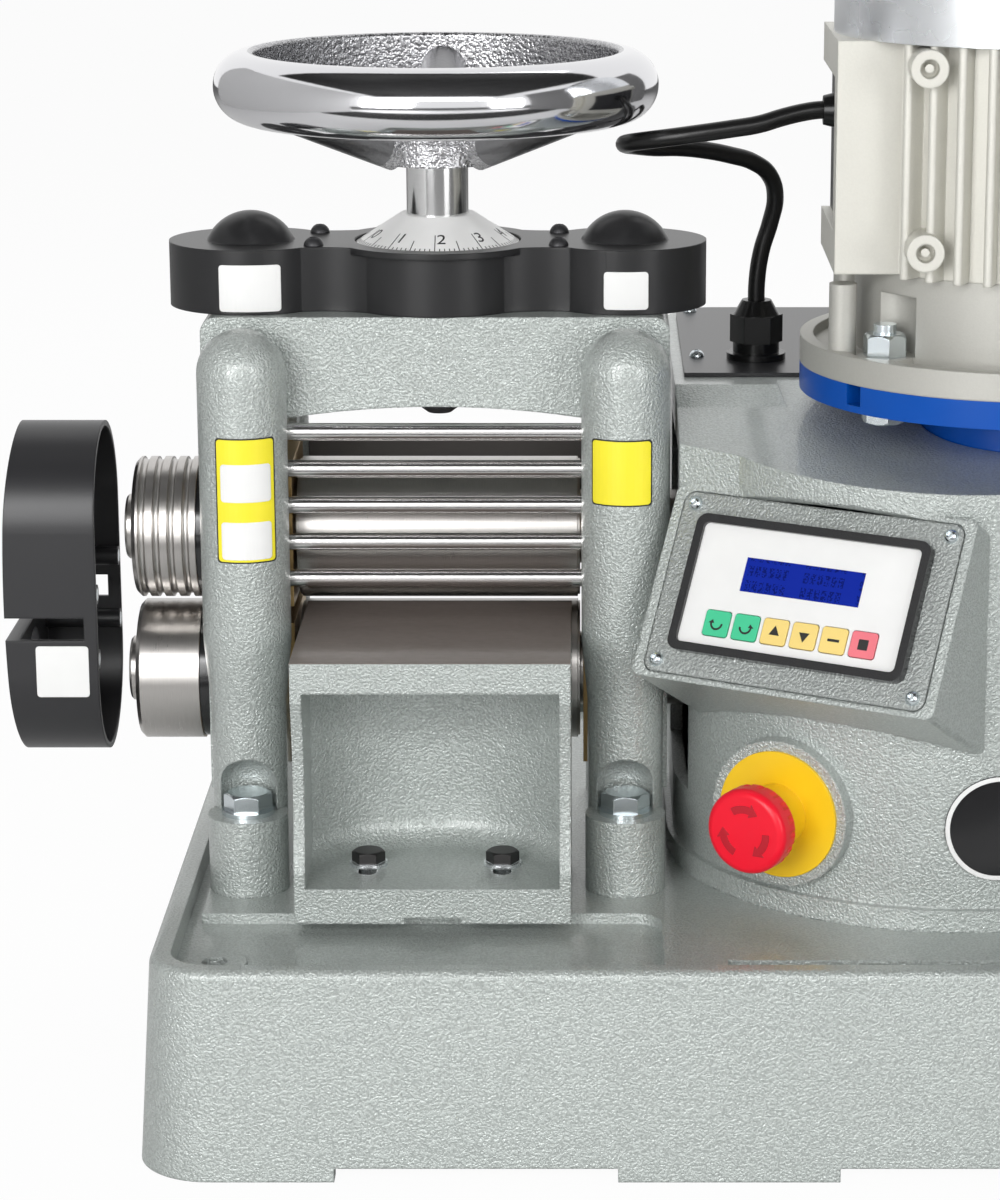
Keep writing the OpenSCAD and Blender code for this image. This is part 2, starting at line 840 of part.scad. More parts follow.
// A bearing block bored for the roll journal, from low to high about its axis.
module bearing_block(axis_z, low, high) {
  difference() {
    translate([-block_half_x, -block_half_y, axis_z - low])
      cube([2 * block_half_x, 2 * block_half_y, low + high]);
    translate([0, 0, axis_z])
      bar_x(-cheek_w, cheek_w, journal_d + 2 * run_gap);
  }
}

module lower_blocks() {
  color([0.72, 0.56, 0.30])
    at_mill()
      for (x = [-1, 1])
        translate([x * stem_x, 0, 0])
          bearing_block(low_z, low_z - nip_z + window_low_h, block_half_z);
}

module upper_blocks() {
  color([0.72, 0.56, 0.30])
    at_mill()
      for (x = [-1, 1])
        translate([x * stem_x, 0, 0])
          difference() {
            bearing_block(top_z, block_half_z, block_head);
            translate([0, 0, top_z + journal_d / 2 + 5])
              cylinder(d = stem_d + 2 * bolt_gap, h = block_head);
          }
}

module lifting_screws() {
  color([0.65, 0.66, 0.68])
    at_mill()
      for (x = [-1, 1])
        translate([x * stem_x, 0, top_z + journal_d / 2 + 5])
          cylinder(d = stem_d, h = frame_top + cover_h + 1 - top_z - journal_d / 2 - 5);
}

// Plate across the back of the roll window, over the sheet's way out.
module rear_shield() {
  shield_t = 3;
  half = cheek_in - bolt_gap;
  color([0.30, 0.29, 0.28])
    at_mill()
      translate([-half, column_y - shield_t / 2, nip_z + 16])
        cube([2 * half, shield_t, rear_shield_h]);
}

// Rest table

module table_side() {
  foot_top = plat_z + table_foot_h;
  top = nip_z + table_top_h;
  lip_low = top - table_lip;
  edge_r = 120;
  difference() {
    polygon([
      [-table_foot_front, plat_z], [-table_wall_back, plat_z], [-table_wall_back, lip_low],
      [-table_wall_back + 15, lip_low], [-table_back, top - 6.5], [-table_back, top],
      [-table_front, top], [-table_front, lip_low], [-table_foot_front, foot_top]]);
    translate([-table_front - edge_r + 7, (foot_top + lip_low) / 2])
      circle(r = edge_r, $fn = 256);
  }
}

// The scooped front of the table, between its side ribs.
module table_pocket() {
  low = plat_z + table_foot_h;
  high = nip_z + table_top_h - table_lip;
  inner_w = table_w - 2 * table_rib;
  fillet = 12;
  intersection() {
    translate([-inner_w / 2, -2 * table_front, low])
      cube([inner_w, 2 * table_front, high - low]);
    translate([0, -table_wall_back - 13 - table_web_r, low])
      rotate_extrude($fn = 128) {
        square([table_web_r - fillet, high - low]);
        translate([0, fillet])
          square([table_web_r, high - low - fillet]);
        translate([table_web_r - fillet, fillet])
          circle(r = fillet);
      }
  }
}

module rest_table() {
  slot_w = table_bolt_d + 2 * bolt_gap;
  slot_half = 11;
  color([0.58, 0.61, 0.60])
    at_mill()
      difference() {
        rotate([90, 0, 90])
          translate([0, 0, -table_w / 2])
            linear_extrude(table_w)
              table_side();
        table_pocket();
        for (x = [-1, 1])
          translate([x * table_bolt_x / 2, -table_bolt_y, plat_z - 1])
            linear_extrude(table_foot_h + 2) {
              square([slot_w, 2 * slot_half], center = true);
              for (y = [-1, 1])
                translate([0, y * slot_half])
                  circle(d = slot_w);
            }
        translate([-table_notch_w / 2, -table_foot_front - 1, plat_z - 1])
          cube([table_notch_w, table_foot_front, 3.5]);
      }
}

module table_bolts() {
  color([0.12, 0.12, 0.13])
    at_mill()
      for (x = [-1, 1])
        translate([x * table_bolt_x / 2, -table_bolt_y, plat_z + table_foot_h])
          hex_bolt(table_bolt_d, table_bolt_af, table_foot_h + deck_t, table_bolt_af * 1.3, 1.6);
}

// Gear cover and screw-down gears

// Plan of the gear cover: lobes, necked waist and ring, drawn in by inset.
module cover_plan(inset) {
  lobe = lobe_r - inset;
  waist_y = cover_waist - inset;
  hollow = neck_r + inset;
  ring = ring_d / 2 - inset;
  neck_x = (ring_d / 2 + stem_x - lobe_r) / 2 + 4;
  circle(r = ring);
  for (s = [-1, 1])
    translate([s * stem_x, 0])
      circle(r = lobe);
  difference() {
    square([2 * stem_x, 2 * lobe - 2], center = true);
    for (sx = [-1, 1], sy = [-1, 1])
      translate([sx * neck_x, sy * (waist_y + hollow)])
        circle(r = hollow);
  }
}

module gear_cover() {
  ball_r = (dome_d * dome_d / 4 + dome_h * dome_h) / (2 * dome_h);
  top = frame_top + cover_h;
  color([0.07, 0.07, 0.08])
    at_mill()
      difference() {
        union() {
          translate([0, 0, frame_top])
            linear_extrude(cover_h)
              cover_plan(0);
          translate([0, 0, top - 3])
            cylinder(d = ring_d + 7, h = 3, $fn = 128);
          for (s = [-1, 1])
            translate([s * stem_x, 0, 0])
              intersection() {
                translate([0, 0, top - 1])
                  cylinder(d = dome_d, h = dome_h + 1);
                translate([0, 0, top + dome_h - ball_r])
                  sphere(r = ball_r);
              }
        }
        difference() {
          translate([0, 0, frame_top - 1])
            linear_extrude(cover_h + 1 - cover_wall)
              cover_plan(cover_wall);
          for (x = [-1, 1], y = [-1, 1])
            translate([x * cover_screw_x, y * cover_screw_y, frame_top])
              cylinder(d = cover_screw_d, h = cover_h);
        }
        for (s = [-1, 1])
          translate([s * stem_x, 0, top - cover_wall - 1])
            cylinder(d = stem_d + 4, h = cover_wall + 1 + dome_h * 0.55);
        translate([0, 0, top - 4])
          cylinder(d = dial_d + 1.6, h = 5);
        translate([0, 0, top - cover_wall - 5])
          cylinder(d = wheel_shaft_d + 2 * slide_gap, h = cover_h);
        for (x = [-1, 1], y = [-1, 1])
          translate([x * cover_screw_x, y * cover_screw_y, frame_top - 1])
            cylinder(d = cover_screw_d / 2 + 2 * bolt_gap, h = cover_h + 2);
      }
}

module cover_screws() {
  color([0.05, 0.05, 0.05])
    at_mill()
      for (x = [-1, 1], y = [-1, 1])
        translate([x * cover_screw_x, y * cover_screw_y, frame_top + cover_h])
          button_screw(cover_screw_d, cover_screw_d / 2, cover_h + 7);
}

module idler(side) {
  half_tooth = 180 / idler_z;
  color([0.62, 0.62, 0.60])
    at_mill()
      translate([side * idler_x, 0, gear_z])
        train_gear(idler_z, post_d + 2 * run_gap, half_tooth);
}

module idler_left() {
  idler(-1);
}

module idler_right() {
  idler(1);
}

// A lifting nut: a gear on a boss, seated on the frame and threaded on its screw.
module lifting_nut(side) {
  bore_d = stem_d + 2 * run_gap;
  color([0.70, 0.60, 0.36])
    at_mill()
      translate([side * stem_x, 0, 0]) {
        translate([0, 0, gear_z])
          train_gear(nut_z, bore_d, 0);
        translate([0, 0, frame_top + slide_gap])
          difference() {
            cylinder(d = stem_d + 14, h = cover_h - cover_wall - 2 * slide_gap);
            translate([0, 0, -1])
              cylinder(d = bore_d, h = cover_h);
          }
      }
}

module lifting_nut_left() {
  lifting_nut(-1);
}

module lifting_nut_right() {
  lifting_nut(1);
}

// Handwheel, its shaft with the pinion, and the dial

module handwheel_shaft() {
  shaft_top = frame_top + hub_low_h + wheel_hub_h - 4;
  color([0.75, 0.76, 0.78])
    at_mill() {
      translate([0, 0, bridge_low])
        cylinder(d = wheel_journal_d, h = frame_top - bridge_low + 1);
      translate([0, 0, frame_top + slide_gap])
        cylinder(d = wheel_shaft_d, h = shaft_top - frame_top - slide_gap);
      translate([0, 0, gear_z])
        train_gear(pinion_z, 1, 0);
    }
}

module shaft_retainer() {
  top = bridge_low + bridge_rise - slide_gap;
  color([0.10, 0.10, 0.10])
    at_mill()
      difference() {
        union() {
          translate([0, 0, top - 2.5])
            cylinder(d = wheel_journal_d + 6, h = 2.5);
          translate([0, 0, top - 7])
            cylinder(d = wheel_journal_d + 3, h = 5);
          translate([0, 0, top - 10])
            cylinder(d1 = wheel_journal_d - 5, d2 = wheel_journal_d + 3, h = 3);
        }
        translate([0, 0, bridge_low])
          cylinder(d = wheel_journal_d + 2 * bolt_gap, h = bridge_rise + 1);
      }
}

module wheel_rim_profile() {
  r = rim_h / 2;
  translate([wheel_d / 2 - r, 0])
    intersection() {
      circle(r = r);
      translate([-0.4, -r])
        square([r + 0.4, rim_h]);
    }
  translate([wheel_d / 2 - r - rim_flat, -r + 2])
    square([rim_flat, rim_h - 4]);
  for (s = [-1, 1])
    translate([wheel_d / 2 - r - rim_flat + 2, s * (r - 2)])
      circle(r = 2);
  translate([wheel_d / 2 - r - rim_flat + 2, -r])
    square([rim_flat - 2, rim_h]);
}

module wheel_hub_profile() {
  neck = wheel_shaft_d / 2 + 3;
  flare = wheel_hub_r - neck;
  difference() {
    square([wheel_hub_r, wheel_hub_h - 3]);
    translate([wheel_hub_r, 0])
      circle(r = flare);
  }
  square([wheel_hub_r - 3, wheel_hub_h]);
  translate([wheel_hub_r - 3, wheel_hub_h - 3])
    circle(r = 3);
}

module handwheel() {
  hub_z = frame_top + hub_low_h;
  rim_z = frame_top + wheel_h;
  spoke_from = [wheel_hub_r - 8, hub_z + wheel_hub_h - spoke_r + 1];
  spoke_to = [wheel_d / 2 - rim_h / 2 + 4, rim_z];
  run = spoke_to - spoke_from;
  lean = atan2(run[1], run[0]);
  color([0.85, 0.86, 0.88])
    at_mill()
      difference() {
        union() {
          translate([0, 0, rim_z])
            rotate_extrude($fn = 128)
              wheel_rim_profile();
          translate([0, 0, hub_z])
            rotate_extrude()
              wheel_hub_profile();
          for (a = [90, 210, 330])
            rotate([0, 0, a])
              translate([spoke_from[0], 0, spoke_from[1]])
                rotate([0, 90 - lean, 0])
                  cylinder(r1 = spoke_r, r2 = spoke_tip_r, h = norm(run));
        }
        translate([0, 0, hub_z - 1])
          cylinder(d = wheel_shaft_d + 2 * bolt_gap, h = wheel_hub_h - 3 + bolt_gap);
      }
}

module dial() {
  low = frame_top + cover_h - 3;
  color([0.93, 0.93, 0.90])
    at_mill()
      translate([0, 0, low])
        difference() {
          union() {
            cylinder(d = dial_d, h = dial_edge, $fn = 128);
            translate([0, 0, dial_edge])
              cylinder(d1 = dial_d, d2 = wheel_shaft_d + 6, h = dial_h, $fn = 128);
          }
          translate([0, 0, -1])
            cylinder(d = wheel_shaft_d + 2 * bolt_gap, h = dial_h + dial_edge + 2);
        }
}

// Rolls

module plain_roll(shaft_end) {
  edge = 1;
  bar_x(-roll_half + edge, roll_half - edge, roll_d);
  bar_x(-roll_half, roll_half, roll_d - 2 * edge);
  bar_x(-ext_x, cheek_out + 0.5, journal_d);
  bar_x(-ext_end + 4, -ext_x + 1, stub_d);
  bar_x(cheek_out, shaft_end, journal_d);
}

module side_roll_bore() {
  bar_x(-ext_end + 4 - bolt_gap, -ext_x + 1, stub_d + 2 * bolt_gap);
}

// A side roll: body with rounded edges and a hub, along -X from the spacer.
module side_roll_body() {
  edge = 2;
  rotate([0, -90, 0]) {
    translate([0, 0, ext_x + bolt_gap])
      cylinder(d = roll_d, h = ext_w - bolt_gap - edge);
    translate([0, 0, ext_end - edge])
      cylinder(d1 = roll_d, d2 = roll_d - 2 * edge, h = edge);
    translate([0, 0, ext_end - 1])
      cylinder(d = hub_d, h = hub_t);
    translate([0, 0, ext_end + hub_t - 1])
      cylinder(d1 = hub_d, d2 = hub_d - 2, h = 1);
  }
}

module top_roll() {
  color([0.75, 0.75, 0.76])
    at_mill()
      translate([0, 0, top_z])
        plain_roll(roll_gear_x + roll_gear_face + 2);
}

module bottom_roll() {
  color([0.75, 0.75, 0.76])
    at_mill()
      translate([0, 0, low_z])
        plain_roll(hidden_shaft_end);
}

module top_side_roll() {
  color([0.76, 0.76, 0.77])
    at_mill()
      translate([0, 0, top_z])
        difference() {
          side_roll_body();
          side_roll_bore();
          rotate([0, -90, 0])
            for (i = [0:groove_count - 1])
              translate([0, 0, ext_x + groove_pitch * (i + 0.7)])
                rotate_extrude()
                  translate([roll_d / 2, 0])
                    circle(r = groove_r);
        }
}

module bottom_side_roll() {
  color([0.76, 0.76, 0.77])
    at_mill()
      translate([0, 0, low_z])
        difference() {
          side_roll_body();
          side_roll_bore();
        }
}

module spacer(axis_z) {
  color([0.06, 0.06, 0.06])
    at_mill()
      translate([0, 0, axis_z])
        difference() {
          bar_x(-ext_x, -spacer_x, roll_d - 2);
          bar_x(-ext_x - 1, -spacer_x + 1, journal_d + 2 * bolt_gap);
        }
}

module top_spacer() {
  spacer(top_z);
}

module bottom_spacer() {
  spacer(low_z);
}

// A long-tooth gear on a roll shaft, inside the housing.
module roll_gear(axis_z, turn) {
  color([0.55, 0.55, 0.55])
    at_mill()
      translate([roll_gear_x, 0, axis_z])
        rotate([0, 90, 0])
          linear_extrude(roll_gear_face)
            difference() {
              gear_outline(roll_gear_z, roll_gear_m, 25, 1.7, 1.2, turn);
              circle(d = journal_d + 2 * bolt_gap);
            }
}

module top_roll_gear() {
  roll_gear(top_z, 0);
}

module bottom_roll_gear() {
  half_tooth = 180 / roll_gear_z;
  roll_gear(low_z, 180 + half_tooth);
}

// Gear housing

module drum_plan(inset) {
  r = drum_r - inset;
  back = housing_back + drum_front - inset;
  corner = rear_corner_r - inset;
  translate(drum_at) {
    circle(r = r, $fn = 128);
    translate([-r, 0])
      square([2 * r, back - corner]);
    translate([corner - r, 0])
      square([2 * (r - corner), back]);
    for (s = [-1, 1])
      translate([s * (r - corner), back - corner])
        circle(r = corner);
  }
}

// All under the housing's top: rear flat, sloping front and raised gear cover.
module under_top(drop) {
  wide = 2 * base_w;
  top = housing_top - drop;
  left = drum_at[0] - drum_r - 1;
  front = -base_d;
  slope_fall = (slope_start - front) * tan(slope_angle);
  hump_fall = (hump_start - front) * tan(hump_angle);
  rotate([90, 0, 90])
    translate([0, 0, left])
      linear_extrude(wide)
        polygon([
          [base_d, plat_z - 1], [base_d, top], [slope_start, top], [front, top - slope_fall],
          [front, plat_z - 1]]);
  intersection() {
    rotate([90, 0, 90])
      translate([0, 0, left])
        linear_extrude(hump_w + 40)
          polygon([
            [rear_front - 2, plat_z - 1], [rear_front - 2, top], [hump_start, top + 1.5],
            [front, top + 1.5 - hump_fall], [front, plat_z - 1]]);
    rotate([90, 0, 0])
      translate([0, 0, -base_d])
        linear_extrude(2 * base_d)
          polygon([
            [left, plat_z - 1], [left, top + 5], [left + hump_w - 6 - drop, top + 5],
            [left + hump_w + 12 - drop, top - 30], [left + hump_w + 12 - drop, plat_z - 1]]);
  }
}

// Plan of the raised gear cover, from the rear cover to the control box's top edge.
module hump_plan() {
  left = drum_at[0] - drum_r + 0.5;
  right = left + hump_w + 12;
  box_left = panel_at[0] - box_w / 2 * cos(panel_yaw) + box_h / 2 * sin(panel_tilt) * sin(panel_yaw);
  box_back = panel_at[1] + box_w / 2 * sin(panel_yaw) + box_h / 2 * sin(panel_tilt) * cos(panel_yaw);
  polygon([
    [left, rear_front - 2], [right, rear_front - 2],
    [right, box_back - (right - box_left) * tan(panel_yaw)],
    [left, box_back - (left - box_left) * tan(panel_yaw)]]);
}

module housing_shell() {
  intersection() {
    union() {
      translate([0, 0, plat_z])
        linear_extrude(housing_h + 10)
          drum_plan(0);
      translate([0, 0, panel_at[2] - 20])
        linear_extrude(housing_h)
          hump_plan();
    }
    under_top(0);
  }
  translate([0, 0, plat_z])
    linear_extrude(flange_h)
      drum_plan(-flange_out);
  at_panel()
    translate([0, 0, -box_deep])
      linear_extrude(box_deep)
        round_rect(box_w, box_h, 4);
  at_stop()
    translate([0, 0, -40])
      cylinder(d = stop_boss_d, h = 40);
}

module gear_housing() {
  case_r = reducer_neck_d / 2 + 1;
  window_y = column_y - 12;
  color([0.60, 0.63, 0.62])
    difference() {
      housing_shell();
      intersection() {
        translate([0, 0, plat_z - 1])
          linear_extrude(housing_h + 10)
            drum_plan(housing_wall);
        under_top(housing_wall);
      }
      at_panel() {
        translate([0, 0, -plate_t + 0.3])
          linear_extrude(10)
            round_rect(plate_w + 2 * panel_gap, plate_h + 2 * panel_gap, 5 + panel_gap);
        translate([0, 0, -box_deep - 1])
          linear_extrude(box_deep)
            round_rect(plate_screw_x - 14, plate_screw_y - 14, 4);
        for (x = [-1, 1], y = [-1, 1])
          translate([x * plate_screw_x / 2, y * plate_screw_y / 2, -12])
            cylinder(d = plate_screw_d / 2 + 2 * bolt_gap, h = 12);
      }
      at_stop()
        translate([0, 0, -60])
          cylinder(d = stop_stem_d + 8, h = 61);
      at_motor()
        translate([0, 0, plat_z + housing_h / 2])
          cylinder(r = case_r, h = housing_h);
      translate([drum_at[0] - drum_r - 10, -mill_front - window_y, low_z - roll_d / 2 - 12])
        cube([30, 2 * window_y, top_z - low_z + roll_d + 26]);
      for (p = rear_screws())
        translate([p[0], p[1], housing_top - 12])
          cylinder(r = case_screw_r / 2 + bolt_gap, h = 13);
      translate([gland_at[0], gland_at[1], housing_top - 2 * housing_wall])
        cylinder(r = gland_flange_r - 4, h = 3 * housing_wall);
    }
}

function rear_screws() =
  [for (x = [drum_at[0] - drum_r + 12, drum_at[0] + drum_r - 12], y = [55, housing_back - 18])
    [x, y]];

module rear_cover() {
  color([0.06, 0.06, 0.07])
    difference() {
      translate([0, 0, housing_top])
        linear_extrude(rear_t)
          difference() {
            intersection() {
              drum_plan(rear_edge);
              translate([-base_w, rear_front])
                square([2 * base_w, base_d]);
            }
            translate([motor_at[0], motor_at[1]])
              circle(d = motor_flange_d + 6, $fn = 128);
          }
      for (p = rear_screws())
        translate([p[0], p[1], housing_top - 1])
          cylinder(r = case_screw_r / 2 + bolt_gap, h = 4);
      translate([gland_at[0], gland_at[1], housing_top - 1])
        cylinder(r = gland_flange_r - 4, h = rear_t + 2);
    }
}

module case_screws() {
  color([0.82, 0.82, 0.82]) {
    for (p = rear_screws())
      translate([p[0], p[1], housing_top + rear_t])
        button_screw(2 * case_screw_r, case_screw_r, 10);
    at_panel()
      for (x = [-1, 1], y = [-1, 1])
        translate([x * plate_screw_x / 2, y * plate_screw_y / 2, 0.3])
          button_screw(plate_screw_d, plate_screw_d / 2, 10);
  }
}

module badge_disc() {
  badge_r = 23.5;
  badge_t = 1.2;
  badge_turn = 5.7;
  color([0.05, 0.05, 0.05])
    translate([drum_at[0], drum_at[1], stop_at[2]])
      rotate([90, 0, badge_turn])
        intersection() {
          translate([0, 0, drum_r - 8])
            cylinder(r = badge_r, h = 12);
          rotate([90, 0, 0])
            difference() {
              cylinder(r = drum_r + badge_t, h = 3 * badge_r, center = true, $fn = 128);
              cylinder(r = drum_r, h = 4 * badge_r, center = true, $fn = 128);
            }
        }
}

// Control panel

module panel_plate() {
  color([0.62, 0.64, 0.64])
    at_panel()
      translate([0, 0, 0.3 - plate_t])
        linear_extrude(plate_t)
          difference() {
            round_rect(plate_w, plate_h, 5);
            for (x = [-1, 1], y = [-1, 1])
              translate([x * plate_screw_x / 2, y * plate_screw_y / 2])
                circle(d = plate_screw_d / 2 + 2 * bolt_gap);
          }
}

module keypad_bezel() {
  color([0.07, 0.07, 0.07])
    at_panel()
      translate([0, 0, 0.3])
        linear_extrude(bezel_t)
          difference() {
            round_rect(bezel_w, bezel_h, 5);
            round_rect(face_w, face_h, 2.5);
          }
}

module keypad_face() {
  color([0.95, 0.95, 0.94])
    at_panel()
      translate([0, 0, 0.3])
        linear_extrude(face_low + face_t - 0.3)
          difference() {
            round_rect(face_w, face_h, 2.5);
            translate([0, lcd_up])
              square([lcd_w, lcd_h], center = true);
            for (i = [0:key_count - 1])
              translate([key_x(i), -key_down])
                round_rect(key_w + 2 * slide_gap, key_h + 2 * slide_gap, 1.6);
          }
}

module lcd_window() {
  color([0.02, 0.05, 0.45])
    at_panel()
      translate([0, lcd_up, 0.3])
        linear_extrude(face_low + face_t - 0.6)
          square([lcd_w, lcd_h], center = true);
}

function key_x(i) = (i - (key_count - 1) / 2) * key_pitch;

module key(i, tint) {
  color(tint)
    at_panel()
      translate([key_x(i), -key_down, key_low])
        linear_extrude(key_t)
          round_rect(key_w, key_h, 1.4);
}

key_green = [0.10, 0.72, 0.42];
key_yellow = [0.95, 0.80, 0.35];
key_red = [0.93, 0.38, 0.42];

module key_1() {
  key(0, key_green);
}

module key_2() {
  key(1, key_green);
}

module key_3() {
  key(2, key_yellow);
}

module key_4() {
  key(3, key_yellow);
}

module key_5() {
  key(4, key_yellow);
}

module key_6() {
  key(5, key_red);
}

// Stop button

module stop_plate() {
  color([0.98, 0.76, 0.02])
    at_stop()
      difference() {
        union() {
          cylinder(d = stop_plate_d, h = stop_plate_t);
          cylinder(d = stop_collar_d, h = stop_plate_t + stop_collar_h);
          translate([0, 0, -8])
            cylinder(d = stop_stem_d + 7.4, h = 9);
        }
        translate([0, 0, -9])
          cylinder(d = stop_stem_d + 2 * run_gap, h = stop_plate_t + stop_collar_h + 10);
      }
}

module stop_stem() {
  color([0.15, 0.15, 0.15])
    at_stop()
      translate([0, 0, -12]) {
        cylinder(d = stop_stem_d, h = stop_head_low + 12 - slide_gap);
        cylinder(d = stop_stem_d - 6, h = stop_head_low + 12 + 6);
      }
}

module stop_head() {
  edge = 3.5;
  grip_count = 18;
  grip_r = 1.8;
  color([0.90, 0.08, 0.14])
    at_stop()
      translate([0, 0, stop_head_low])
        difference() {
          rotate_extrude() {
            square([stop_head_d / 2 - edge, stop_head_h]);
            translate([0, edge])
              square([stop_head_d / 2, stop_head_h - 2 * edge]);
            for (z = [edge, stop_head_h - edge])
              translate([stop_head_d / 2 - edge, z])
                circle(r = edge);
          }
          translate([0, 0, -1])
            cylinder(d = stop_stem_d - 6 + 2 * run_gap, h = 7 + slide_gap);
          for (i = [0:grip_count - 1])
            rotate([0, 0, i * 360 / grip_count])
              translate([stop_head_d / 2 + grip_r - 1, 0, -1])
                cylinder(r = grip_r, h = 1 + stop_head_h / 2);
        }
}

// Side guard

module guard_outline(inset) {
  r = guard_r - inset;
  for (s = [-1, 1])
    translate([s * guard_span / 2, 0])
      circle(r = r);
  square([guard_span, 2 * r], center = true);
}

module guard() {
  rim_x = cheek_out + slide_gap;
  inner_end = ext_end + 0.6;
  depth = inner_end + guard_wall - rim_x;
  mid_z = nip_z + guard_up;
  crown_half = guard_span / 2 + guard_r;
  crown_r = (crown_half * crown_half + guard_crown * guard_crown) / (2 * guard_crown);
  color([0.08, 0.08, 0.08])
    at_mill()
      translate([-rim_x - guard_off, 0, 0])
        difference() {
          intersection() {
            translate([0, 0, mid_z])
              rotate([0, -90, 0])
                linear_extrude(depth + guard_crown)
                  guard_outline(0);
            translate([crown_r - depth - guard_crown, 0, mid_z])
              rotate([90, 0, 0])
                cylinder(r = crown_r, h = 4 * guard_r, center = true, $fn = 256);
          }
          difference() {
            translate([1, 0, mid_z])
              rotate([0, -90, 0])
                linear_extrude(depth + 1 - guard_wall)
                  guard_outline(guard_wall);
            for (p = guard_bosses())
              translate([0, p[0], p[1]])
                bar_x(-depth, 1, magnet_d + 3);
          }
          for (p = guard_bosses())
            translate([0, p[0], p[1]])
              bar_x(-4, 1, magnet_d + 2 * bolt_gap);
          for (z = [low_z, top_z - lift_travel, top_z + lift_travel])
            translate([0, 0, z])
              bar_x(-2 * depth, -depth / 2, hub_d + 8);
          translate([-2 * depth, -2 * guard_r, guard_slot_z - guard_slot / 2])
            cube([2 * depth - 6, 4 * guard_r, guard_slot]);
        }
}

// Places of the magnets in the guard's rim, front to back and up.
function guard_bosses() =
  let (y = guard_r - guard_wall - magnet_d / 2 + 0.2)
  [for (s = [-1, 1], up = [-1, 1]) [s * y, guard_slot_z + up * (guard_slot / 2 + magnet_d / 2 + 7)]];

module guard_magnets() {
  rim_x = cheek_out + slide_gap;
  color([0.75, 0.75, 0.76])
    at_mill()
      translate([-rim_x - guard_off, 0, 0])
        for (p = guard_bosses())
          translate([0, p[0], p[1]])
            bar_x(-4 + bolt_gap, 0, magnet_d);
}

// Reducer and motor

module reducer_case() {
  color([0.02, 0.22, 0.62])
    at_motor()
      difference() {
        union() {
          translate([0, 0, reducer_flange_low])
            cylinder(d = motor_flange_d, h = reducer_flange_t, $fn = 128);
          translate([0, 0, case_top_z - 1])
            cylinder(d = reducer_neck_d, h = reducer_flange_low - case_top_z + 2);
          translate([-case_half_x, -case_front, case_low_z])
            cube([2 * case_half_x, case_front + case_back, case_top_z - case_low_z]);
        }
        translate([-case_half_x + case_wall, -case_front + case_wall, case_low_z + case_wall])
          cube([2 * (case_half_x - case_wall), case_front + case_back - 2 * case_wall,
                case_top_z - case_low_z - 2 * case_wall]);
        translate([0, 0, case_top_z - 2 * case_wall])
          cylinder(d = motor_shaft_d + 2 * run_gap, h = motor_z - case_top_z + 2 * case_wall + 1);
        translate([0, 0, case_low_z - 1])
          cylinder(d = motor_shaft_d + 2 * run_gap, h = 2 * case_wall);
        translate([0, worm_offset, low_z])
          bar_x(-case_half_x - 1, case_half_x + 1, journal_d + 2 * run_gap);
        for (a = motor_bolt_angles())
          rotate([0, 0, a])
            translate([motor_pcd / 2, 0, reducer_flange_low - 1]) {
              cylinder(d = motor_bolt_d + 2 * bolt_gap, h = reducer_flange_t + 2);
              translate([6, -4.5, 4])
                cube([20, 9, reducer_flange_t]);
            }
      }
}

function motor_bolt_angles() = [for (i = [0:3]) 180 + motor_bolt_turn + 90 * i];

module motor_flange() {
  edge_w = 6;
  color([0.80, 0.80, 0.77])
    at_motor()
      difference() {
        union() {
          translate([0, 0, motor_z])
            cylinder(d = motor_flange_d, h = motor_flange_t - 4, $fn = 128);
          translate([0, 0, motor_z + motor_flange_t - 5])
            difference() {
              cylinder(d = motor_flange_d, h = 5, $fn = 128);
              translate([0, 0, -1])
                cylinder(d = motor_flange_d - 2 * edge_w, h = 7, $fn = 128);
            }
          translate([0, 0, motor_z])
            cylinder(r = body_r, h = motor_flange_t + shield_h, $fn = 128);
          for (p = posts)
            translate([p[0], p[1], motor_z])
              cylinder(d = 12, h = motor_flange_t + shield_h - 5);
          for (a = motor_bolt_angles())
            rotate([0, 0, a])
              translate([motor_pcd / 2, 0, motor_z])
                cylinder(d = motor_nut_af * 1.5, h = motor_flange_t - 1);
        }
        translate([0, 0, motor_z - 1])
          cylinder(d = motor_shaft_d + 2 * run_gap, h = motor_flange_t + shield_h + 2);
        for (a = motor_bolt_angles())
          rotate([0, 0, a])
            translate([motor_pcd / 2, 0, motor_z - 1]) {
              cylinder(d = motor_bolt_d + 2 * bolt_gap, h = motor_flange_t + 2);
              translate([0, 0, motor_flange_t])
                cylinder(d = motor_nut_af * 1.6, h = 26);
            }
      }
}

module motor_bolts() {
  seat = motor_z + motor_flange_t - 1;
  grip = seat - reducer_flange_low;
  color([0.80, 0.82, 0.84])
    at_motor()
      for (a = motor_bolt_angles())
        rotate([0, 0, a])
          translate([motor_pcd / 2, 0, seat]) {
            hex_head(motor_nut_af, 10);
            translate([0, 0, -grip])
              cylinder(d = motor_bolt_d, h = grip + 14);
            translate([0, 0, -grip])
              mirror([0, 0, 1])
                hex_head(motor_nut_af, 6.5);
          }
}

module body_plan() {
  step = 360 / fin_count;
  circle(r = body_r, $fn = 128);
  for (i = [0:fin_count - 1])
    if (abs(i * step - 180) > 40)
      rotate([0, 0, i * step])
        translate([body_r - 1, -fin_t / 2]) {
          square([fin_r - body_r + 1 - fin_t / 2, fin_t]);
          translate([fin_r - body_r + 1 - fin_t / 2, fin_t / 2])
            circle(d = fin_t);
        }
  translate([-pad_x, -pad_half_y])
    square([pad_x, 2 * pad_half_y]);
}

